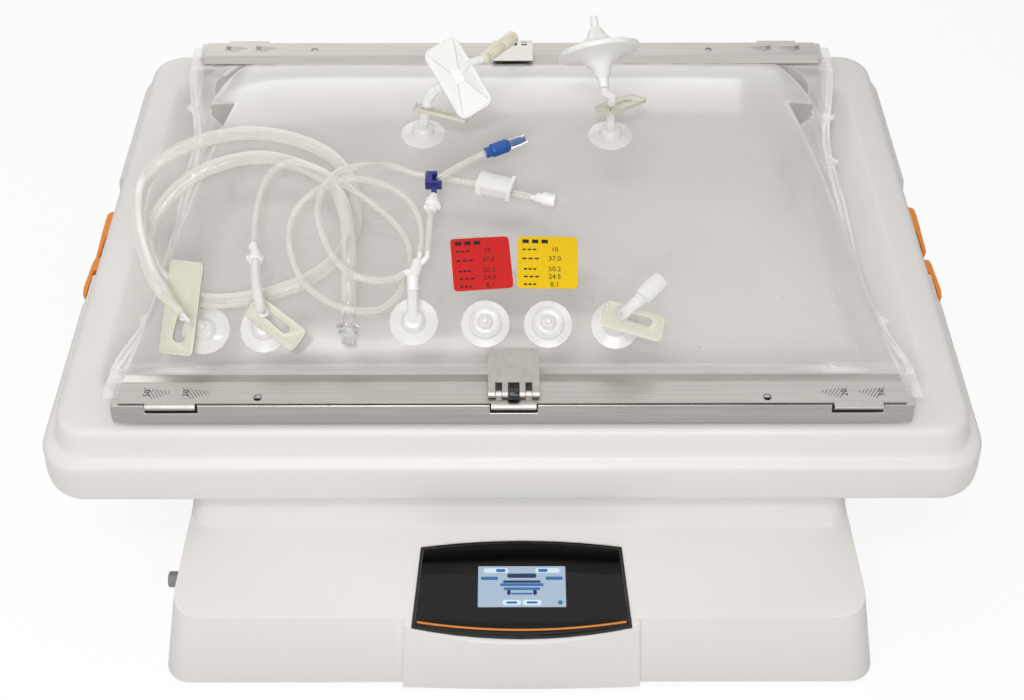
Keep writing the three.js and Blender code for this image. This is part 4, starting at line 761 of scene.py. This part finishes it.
# ---- Culture bag ----
# Two sheets of clear multilayer film welded round the edge and blown up with air. The front and
# rear edges lie under the clamp bars; at the ends the film is drawn into tucks and soft creases.
BAG_HALF_X, BAG_HALF_Y, BAG_RISE = 315.0, 200.6, 50.0
PORT_PLACES = (
    (-250, -169.5), (-202, -169.5), (-132.5, -170), (-80.5, -165), (-22, -166.6), (29, -167),
    (84, -167.5), (-80, 34), (88.7, 31.6),
)
SEAM_X, SEAM_HEM, SEAM_DROP = 306.0, 6.0, 22.0
BAG_EDGE, WELD_LEVEL, BED_LEVEL, BED_TO_WELD, FILM_GAP = 226.0, 0.35, -37.2, 36.8, 0.12
TABS = ((-1, 146), (-1, -127), (1, 75), (1, -133), (1, 133))


def ramp(value, low, high):
    """A smooth step from 0 at low to 1 at high."""
    t = np.clip((value - low) / (high - low), 0, 1)
    return t * t * (3 - 2 * t)


def seam_at(v):
    """How far out the end seam lies: drawn in between the clamp bars by the air inside."""
    return SEAM_X + 16.0 * ramp(np.abs(v), 90, 198)


def hem_at(side, v):
    """How far out the film reaches past its end seam: a narrow hem with small round tabs."""
    out = seam_at(v) + SEAM_HEM
    for end, at in TABS:
        out = out + 5.0 * (side == end) * np.sqrt(np.clip(1 - ((v - at) / 4.5) ** 2, 0, 1))
    return out


def blown_up(x, v):
    """The film's height where it is blown up tight, in mm."""
    across = 1 - np.abs(v / BAG_HALF_Y).clip(0, 1) ** 3
    along = 1 - np.abs(x / BAG_HALF_X).clip(0, 1) ** 8
    return BAG_RISE * across * along + WELD_LEVEL


def ridge_at(v):
    """Where the blown-up middle ends in a ridge: two straight folds that meet in a dart."""
    rear = 268 + (192 - v) * 0.27
    front = 259 + (105 - v) * 0.185
    turn = ramp(v, 93, 113)
    return np.minimum(front * (1 - turn) + rear * turn, seam_at(v) - 6)


def film_top(x, v):
    """The upper film's height in the tray's frame, in mm: tight, then falling to its end seam."""
    x, v = np.asarray(x, float), np.asarray(v, float)
    reach = np.abs(x)
    ridge = ridge_at(v)
    across = 1 - np.abs(v / BAG_HALF_Y).clip(0, 1) ** 4
    past = np.clip((reach - ridge) / (seam_at(v) - ridge), 0, 1)
    crest = blown_up(np.minimum(reach, ridge), v)
    seam = WELD_LEVEL - SEAM_DROP * across
    height = crest + (seam - crest) * past**0.85
    slack = np.sin(math.pi * past) * across
    side = np.sign(x)
    height -= 9.0 * slack * np.exp(-(((v - 150 + 0.5 * (reach - 290)) / 17) ** 2))
    height -= 10.0 * slack * np.exp(-(((v - 84 + 0.9 * (reach - 285)) / 16) ** 2))
    height += 4.5 * slack * np.exp(-(((v - 20 + 1.1 * (reach - 300)) / 9) ** 2))
    height -= 5.0 * slack * np.exp(-(((v + 70 + 1.4 * (reach - 308)) / 12) ** 2))
    height += 3.0 * slack * np.exp(-(((v + 128 + 1.6 * (reach - 312)) / 7) ** 2))
    height += 1.6 * slack * np.sin(v / 7.5 + 0.16 * reach + 2.0 * side + 1.4 * np.sin(v / 31))
    height += 1.0 * across * np.exp(-(((reach - ridge) / 3.0) ** 2))
    edge = ramp(reach, seam_at(v), seam_at(v) + SEAM_HEM)
    height += edge * across * (3.0 + 1.6 * np.sin(v / 19 + side) + 0.5 * np.sin(v / 7.3))
    calm = ramp(np.hypot(x + 226, v + 169), 55, 100)
    for px, pv in PORT_PLACES:
        calm = calm * ramp(np.hypot(x - px, v - pv), 24, 90)
    puckers = ramp(np.abs(v), 176, 196) * (1 - ramp(np.abs(v), 197, 203))
    broad = 1 - ramp(reach, 230, 262)
    height += 0.45 * calm * puckers * np.sin(x / 5.3 + 2.6 * np.sin(x / 41)) * (0.5 + 0.5 * np.sin(x / 67))
    height += 0.35 * calm * broad * np.sin(x / 61 + v / 93) * np.sin(v / 57 - x / 140)
    outwards = np.abs(v)
    height -= 3.1 * ramp(outwards, 194, 200.5) * (1 - np.clip((outwards - 200.5) / 10.5, 0, 1))
    return height


def tucked(x, v):
    """Where the film is doubled over beside the ridge: two leaf-shaped tucks at each end, as masks for
    painted shade inside them and a painted highlight on their rims.
    """
    past = np.abs(x) - ridge_at(v)
    within, rims = 0.0 * x, 0.0 * x
    for start, length, width in ((197, 66, 24), (111, 76, 19)):
        t = np.clip((start - v) / length, 0, 1)
        wide = width * np.sin(math.pi * t**0.75)
        held = (t > 0.01) & (t < 0.99)
        within = np.maximum(within, held * ramp(past, -0.6, 0.8) * (1 - ramp(past, wide - 1.0, wide + 0.4)))
        rims = np.maximum(rims, held * np.exp(-(((past - wide) / 1.1) ** 2)))
    return within, rims


def film_bottom(x, v):
    """The lower film's height: on the bed, up its walls and into the welded edge."""
    top = film_top(x, v) - FILM_GAP
    rise = np.maximum(ramp(np.abs(v), 188, 206), ramp(np.abs(x), seam_at(v) - 18, seam_at(v)))
    return np.minimum(BED_LEVEL + BED_TO_WELD * rise, top) * (rise < 1) + top * (rise >= 1)


COLUMNS, ROWS = 300, 190
rows = np.linspace(-1, 1, ROWS + 1)
vs = BAG_EDGE * np.sign(rows) * (1 - (1 - np.abs(rows)) ** 1.3)
grid_share, grid_v = np.meshgrid(np.linspace(-1, 1, COLUMNS + 1), vs, indexing="ij")
grid_side, grid_along = np.sign(grid_share), np.abs(grid_share)
INNER = 0.7
to_ridge = ridge_at(grid_v) * np.clip(grid_along / INNER, 0, 1)
beyond = hem_at(grid_side, grid_v) - ridge_at(grid_v)
past_ridge = beyond * np.clip((grid_along - INNER) / (1 - INNER), 0, 1)
grid_x = grid_side * (to_ridge + past_ridge)
upper, lower = film_top(grid_x, grid_v), film_bottom(grid_x, grid_v)
points = np.stack([grid_x, grid_v, upper], -1).reshape(-1, 3).tolist()
under = len(points)
points += np.stack([grid_x, grid_v, lower], -1).reshape(-1, 3).tolist()
faces = []
wide = ROWS + 1
for i in range(COLUMNS):
    for j in range(ROWS):
        a = i * wide + j
        faces.append((a, a + wide, a + wide + 1, a + 1))
        faces.append((under + a, under + a + 1, under + a + wide + 1, under + a + wide))
rim = [i * wide for i in range(COLUMNS + 1)]
rim += [COLUMNS * wide + j for j in range(1, ROWS + 1)]
rim += [i * wide + ROWS for i in range(COLUMNS - 1, -1, -1)]
rim += [j for j in range(ROWS - 1, 0, -1)]
for i, a in enumerate(rim):
    b = rim[(i + 1) % len(rim)]
    faces.append((a, under + a, under + b, b))

clear_film, tree = blank("polyethylene_film_clear")
folds_and_painted_highlights, tuck_shade_mask = (
    node(tree, "ShaderNodeAttribute", attribute_name=mask).outputs["Fac"] for mask in ("folds_and_painted_highlights", "tuck_painted_shade")
)
facing = node(tree, "ShaderNodeLayerWeight", {"Blend": 0.35}).outputs["Facing"]
haze = noise(tree, node(tree, "ShaderNodeTexCoord").outputs["Object"], 12.0, 4.0)
cover = maths(tree, "ADD", maths(tree, "MULTIPLY", facing, 0.75), spread(tree, haze, 0.1, 0.2))
# Whiter and more opaque where folded or welded, as the film's own haze, and along crests, tuck rims and the
# rear half, as painted highlight.
cover = maths(tree, "MULTIPLY_ADD", folds_and_painted_highlights, 0.55, cover, use_clamp=True)
# Painted shade: the tucks are made more opaque here, and greyer in the base colour below.
cover = maths(tree, "MULTIPLY_ADD", tuck_shade_mask, 0.4, cover, use_clamp=True)
surface(
    tree,
    {
        # Painted shade: greyer film colour inside the tucks.
        "Base Color": blend(tree, tuck_shade_mask, linear("f8f5f2"), linear("b3aca6")),
        "Roughness": spread(tree, haze, 0.08, 0.2),
        "Alpha": cover,
        "IOR": 1.5,
        "Specular IOR Level": 1.0,
    },
)
bag = piece("culture_bag", points, faces, TRAY, clear_film, "rocker", ["bag"], 80)
# Mask of where the film is whiter: folds and the welded seam are its own haze; the crest, tuck rims and rear
# half are painted highlight.
across_x = np.gradient(grid_x, axis=0) + 1e-6
rough_part = upper - blown_up(grid_x, grid_v)
bend = np.abs(np.gradient(np.gradient(rough_part, axis=0) / across_x, axis=0) / across_x)
bend += np.abs(np.gradient(np.gradient(rough_part, vs, axis=1), vs, axis=1))
bend *= ramp(np.abs(grid_x), 240, 262)
# Tuck masks: painted shade inside each tuck, and painted highlight along its rim.
tuck_painted_shade, tuck_rim = tucked(grid_x, grid_v)
# Painted highlight: a bright line along each ridge crest.
crest = np.exp(-(((np.abs(grid_x) - ridge_at(grid_v)) / 1.3) ** 2)) * (np.abs(grid_v) < 196)
welded = ramp(np.abs(grid_x), seam_at(grid_v) - 1, seam_at(grid_v) + 1)
# Painted reflection: the rear half of the film is made whiter, standing in for the bright backdrop mirrored
# there.
rear_painted_brightening = 0.55 * ramp(grid_v, -40, 170) * (1 - ramp(np.abs(grid_x), 255, 275))
fold_haze_and_painted_highlights = np.clip(bend * 2.2 + 0.8 * crest + 0.4 * tuck_rim + 0.3 * welded + rear_painted_brightening, 0, 1).reshape(-1)
for label, values in (("folds_and_painted_highlights", fold_haze_and_painted_highlights), ("tuck_painted_shade", tuck_painted_shade.reshape(-1))):
    mask = bag.data.attributes.new(label, "FLOAT", "POINT")
    mask.data.foreach_set("value", np.concatenate([values, values * 0.3]).astype(np.float32))

# ---- Labels ----
# Two square self-adhesive vinyl labels on the film, one red and one yellow, printed with broken
# rules and plain numbers only.
LABELS = (
    ("label_red", "d0211f", ((-52.2, -94.3), (-3.3, -91.3), (1.1, -138.6), (-47.9, -141.8))),
    ("label_yellow", "f0c70f", ((4.6, -91.4), (54.6, -92.2), (53.8, -139.5), (4.0, -139.0))),
)
label_black = print_ink("ink_black", "1a1816", 0.35)
NUMBERS = (
    (0.62, 0.18, "10"), (0.62, 0.36, "37.0"), (0.62, 0.56, "50.2"), (0.62, 0.70, "24.5"), (0.62, 0.84, "8.1"),
)
LABEL_WIDE, LABEL_LONG, LABEL_LIFT, PRINT_LIFT = 49, 48, 0.8, 0.95
CELLS, CORNER = 16, 0.06
RULE_PARTS = 9


def on_label(corners, u, d, lift):
    """A point on a label by its shares across and down, and its height over the film."""
    tl, tr, br, bl = (np.array(c, float) for c in corners)
    x, v = (tl * (1 - u) + tr * u) * (1 - d) + (bl * (1 - u) + br * u) * d
    return (float(x), float(v), float(film_top(x, v)) + lift)


def rule(corners, u0, u1, d, thick):
    """A printed rule across a label, in short lengths that follow the film, as points and faces."""
    points, faces = [], []
    for k in range(RULE_PARTS):
        if k % 3 == 2:
            continue
        a, b = (u0 + (u1 - u0) * (k + more) / RULE_PARTS for more in (0, 1))
        low, high = d - thick / 2, d + thick / 2
        length = [on_label(corners, u, q, PRINT_LIFT) for u, q in ((a, low), (a, high), (b, high), (b, low))]
        add(points, faces, length, [(0, 1, 2, 3)])
    return points, faces


for name, colour, corners in LABELS:
    points, faces = [], []
    for i in range(CELLS + 1):
        for j in range(CELLS + 1):
            u, d = i / CELLS, j / CELLS
            cu, cd = min(max(u, CORNER), 1 - CORNER), min(max(d, CORNER), 1 - CORNER)
            gap = math.hypot(u - cu, d - cd)
            if gap > CORNER:
                u, d = cu + (u - cu) * CORNER / gap, cd + (d - cd) * CORNER / gap
            points.append(on_label(corners, u, d, LABEL_LIFT))
    for i in range(CELLS):
        for j in range(CELLS):
            a = i * (CELLS + 1) + j
            faces.append((a, a + 1, a + CELLS + 2, a + CELLS + 1))
    plain = len(faces)
    add(points, faces, *rule(corners, 0.08, 0.56, 0.105, 0.075))
    for row, (u, d, number) in enumerate(NUMBERS):
        left, right, middle = 0.08 + 0.03 * (row > 1), 0.34 + 0.05 * (row % 2), d + 0.09
        add(points, faces, *rule(corners, left, right, middle, 0.03))
        digits, digit_faces = number_mesh(number, 6.0)
        shares = [(u + p[0] / LABEL_WIDE, middle - p[1] / LABEL_LONG) for p in digits]
        add(points, faces, [on_label(corners, *share, PRINT_LIFT) for share in shares], digit_faces)
    inks = [0] * plain + [1] * (len(faces) - plain)
    label_inks = [print_ink("vinyl_" + name, colour, 0.3), label_black]
    piece(name, points, faces, TRAY, label_inks, "rocker", smooth=0, inks=inks)

# ---- Ports ----
# Injection-moulded polyethylene flanges welded to the film: six with hose barbs and short tubes,
# and two with a domed sensor cap.
frosted = {"Alpha": 0.5, "Coat Weight": 0.7, "Coat Roughness": 0.1}
natural_polyethylene = plastic("polyethylene_natural", "fffefc", 0.2, 5.0, 0.002, 0.01, **frosted)
for name in ("hose", "inlet", "sample", "oxygen", "acidity", "spare", "gas_in", "gas_out"):
    dress("port_" + name, natural_polyethylene, 0.35, 3)

# ---- Plate clamps ----
# Cream moulded polypropylene plates with a keyhole slot, threaded on the ports' short tubes. Slid
# sideways, the narrow end of the slot pinches the tube.
creamy = {"Alpha": 0.84, "Coat Weight": 0.15, "Coat Roughness": 0.12}
cream_polypropylene = plastic("polypropylene_cream", "dcd9c8", 0.3, 3.0, 0.02, 0.02, **creamy)
for name in ("hose", "inlet", "spare", "gas_in", "gas_out"):
    dress("plate_clamp_" + name, cream_polypropylene, 0.5, 3)

# ---- Sterile filters ----
# Two vent filters of natural polypropylene: a flat rectangular one with ribbed faces, and a round
# one of two bells joined at a flat rim.
dress("filter_disc", natural_polypropylene, 0.5, 3)
NEAR = np.array((0, -0.63, 0.777)) / np.linalg.norm((0, -0.63, 0.777))
UP = np.cross(NEAR, (1.0, 0, 0))
box_long = 0.51 * np.array((1.0, 0, 0)) - 0.86 * UP
box_long /= np.linalg.norm(box_long)
box_wide = np.cross(box_long, NEAR)
BOX_CENTRE = np.array((-47, 49.5, 100.0))
BOX_RINGS = (
    (4, 6, 1.5, -8), (4.4, 6.6, 1.4, -7.2), (13.4, 30.6, 1.2, -2.9), (14.2, 31.6, 4, -2.7),
    (15.2, 32.8, 5.6, -3.4), (16.3, 33.9, 6.8, -3.2), (17, 34.5, 7.6, -2.2), (17, 34.5, 7.6, 2.2),
    (16.3, 33.9, 6.8, 3.2), (15.2, 32.8, 5.6, 3.4), (14.2, 31.6, 4, 2.7), (13.4, 30.6, 1.2, 2.9),
    (4.4, 6.6, 1.4, 7.2), (4, 6, 1.5, 8),
)
RIB_FACES = ((0, 1, 4, 3), (1, 2, 5, 4), (2, 0, 3, 5), (0, 2, 1), (3, 4, 5))
RIB_HALF, RIB_ROOT, RIB_CREST = 0.7, 0.6, 0.5
STUB_OUTSIDE, STUB_BORE = 3.6, 2.0


def in_box(ring):
    """A ring of the filter's own frame, across, along and towards the user, in the tray's frame."""
    return [tuple(BOX_CENTRE + p[0] * box_wide + p[1] * box_long + p[2] * NEAR) for p in ring]


box, slot = natural_polypropylene, "natural_plastic"
points, faces = skin([in_box(rounded(*ring, 6)) for ring in BOX_RINGS])
piece("filter_box_shell", points, faces, TRAY, box, "rocker", ["filter_box"], 14)
points, faces = [], []
for way in (-1, 1):
    for cx in (-1, 1):
        for cy in (-1, 1):
            across = np.array((-cy * 25.0, cx * 9.6))
            dx, dy = across / np.linalg.norm(across) * RIB_HALF
            ring = []
            for x, y, z in ((cx * 3.4, cy * 5.2, way * 8.1), (cx * 13.0, cy * 30.0, way * 3.3)):
                root, crest = z - way * RIB_ROOT, z + way * RIB_CREST
                ring += [(x - dx, y - dy, root), (x, y, crest), (x + dx, y + dy, root)]
            add(points, faces, in_box(ring), RIB_FACES)
piece("filter_box_ribs", points, faces, TRAY, box, "rocker", smooth=20)
box_out = [in_box([(0, 0, 5)])[0], (-38, 58, 109), (-26, 66, 108)]
box_in = [in_box([(0, 0, -5)])[0], (-50, 54.5, 93), (-56, 53.5, 90.5)]
tube("filter_box_outlet", box_out, STUB_OUTSIDE, STUB_BORE, box, [], 20, 6)
tube("filter_box_inlet", box_in, STUB_OUTSIDE, STUB_BORE, box, [], 20, 6)
beige_polypropylene = plastic("polypropylene_beige", "efe8d2", 0.3, 3.0, 0.02, 0.03, **{"Alpha": 0.92})
lathed(
    "filter_box_plug",
    (-26, 66, 108),
    (2, 104, 104),
    [(0, 4.2), (1, 5.4), (5, 5.9), (7, 5.0), (9, 5.9), (11, 5.0), (13, 6.0), (26, 5.6), (28, 4.8), (30, 5.8),
     (41, 6.1), (43.5, 5.6), (46, 5.9), (47.2, 5.0)],
    beige_polypropylene,
    "rocker",
)

# ---- Studio ----
# A pale floor, a white surround, and soft lamps above, in front, behind and at both sides. Floor and
# surround look brighter than the light they give, so that the part keeps its shading.


def seen_or_mirrored(tree):
    """One where the studio is looked at, mirrored or seen through; nought where it only lights."""
    rays = node(tree, "ShaderNodeLightPath")
    level = rays.outputs["Is Camera Ray"]
    for kind in ("Is Glossy Ray", "Is Transmission Ray"):
        level = maths(tree, "MAXIMUM", level, rays.outputs[kind])
    return level


floor_mesh = bpy.data.meshes.new("studio_floor")
floor_mesh.from_pydata([(-6, -6, 0), (6, -6, 0), (6, 6, 0), (-6, 6, 0)], [], [(0, 1, 2, 3)])
floor = bpy.data.objects.new("studio_floor", floor_mesh)
bpy.context.scene.collection.objects.link(floor)
paper, tree = blank("studio_paper")
half = maths(tree, "MULTIPLY", seen_or_mirrored(tree), 0.7)
matt = node(tree, "ShaderNodeBsdfDiffuse", {"Color": linear("c8c8c8")})
white = node(tree, "ShaderNodeEmission", {"Color": (1, 1, 1, 1), "Strength": 1.22})
mixed = node(tree, "ShaderNodeMixShader", {0: half, 1: matt.outputs[0], 2: white.outputs[0]})
node(tree, "ShaderNodeOutputMaterial", {"Surface": mixed.outputs[0]})
floor_mesh.materials.append(paper)

world = bpy.data.worlds.new("studio_surround")
world.use_nodes = True
bpy.context.scene.world = world
tree = world.node_tree
tree.nodes.clear()
level = spread(tree, seen_or_mirrored(tree), 0.16, 1.0)
glow = node(tree, "ShaderNodeBackground", {"Color": (1, 1, 1, 1), "Strength": level})
node(tree, "ShaderNodeOutputWorld", {"Surface": glow.outputs[0]})

LAMPS = (
    ("overhead", (0.0, 0.2, 2.5), (0.0, 0.0, 0.3), (3.2, 2.2), 10.5),
    ("front_middle", (0.0, -2.1, 1.15), (0.0, -0.1, 0.2), (2.0, 0.6), 26.0),
    ("front_left", (-0.5, -1.25, 1.95), (0.0, -0.1, 0.2), (0.42, 0.24), 5.5),
    ("front_right", (-0.1, -1.25, 1.95), (0.0, -0.1, 0.2), (0.42, 0.24), 5.5),
    ("rear_low", (-0.3, 1.9, 1.3), (0.0, 0.0, 0.25), (2.2, 1.1), 12.0),
    ("left", (-2.2, -0.3, 1.3), (0.0, 0.0, 0.2), (1.2, 1.2), 4.5),
    ("right", (2.2, -0.3, 1.3), (0.0, 0.0, 0.2), (1.2, 1.2), 1.5),
)
for name, at, to, size, power in LAMPS:
    lamp = bpy.data.lights.new(name, "AREA")
    lamp.shape = "RECTANGLE"
    lamp.size, lamp.size_y = size
    lamp.energy = power
    holder = bpy.data.objects.new(name, lamp)
    holder.location = at
    holder.rotation_euler = (Vector(to) - Vector(at)).to_track_quat("-Z", "Y").to_euler()
    bpy.context.scene.collection.objects.link(holder)
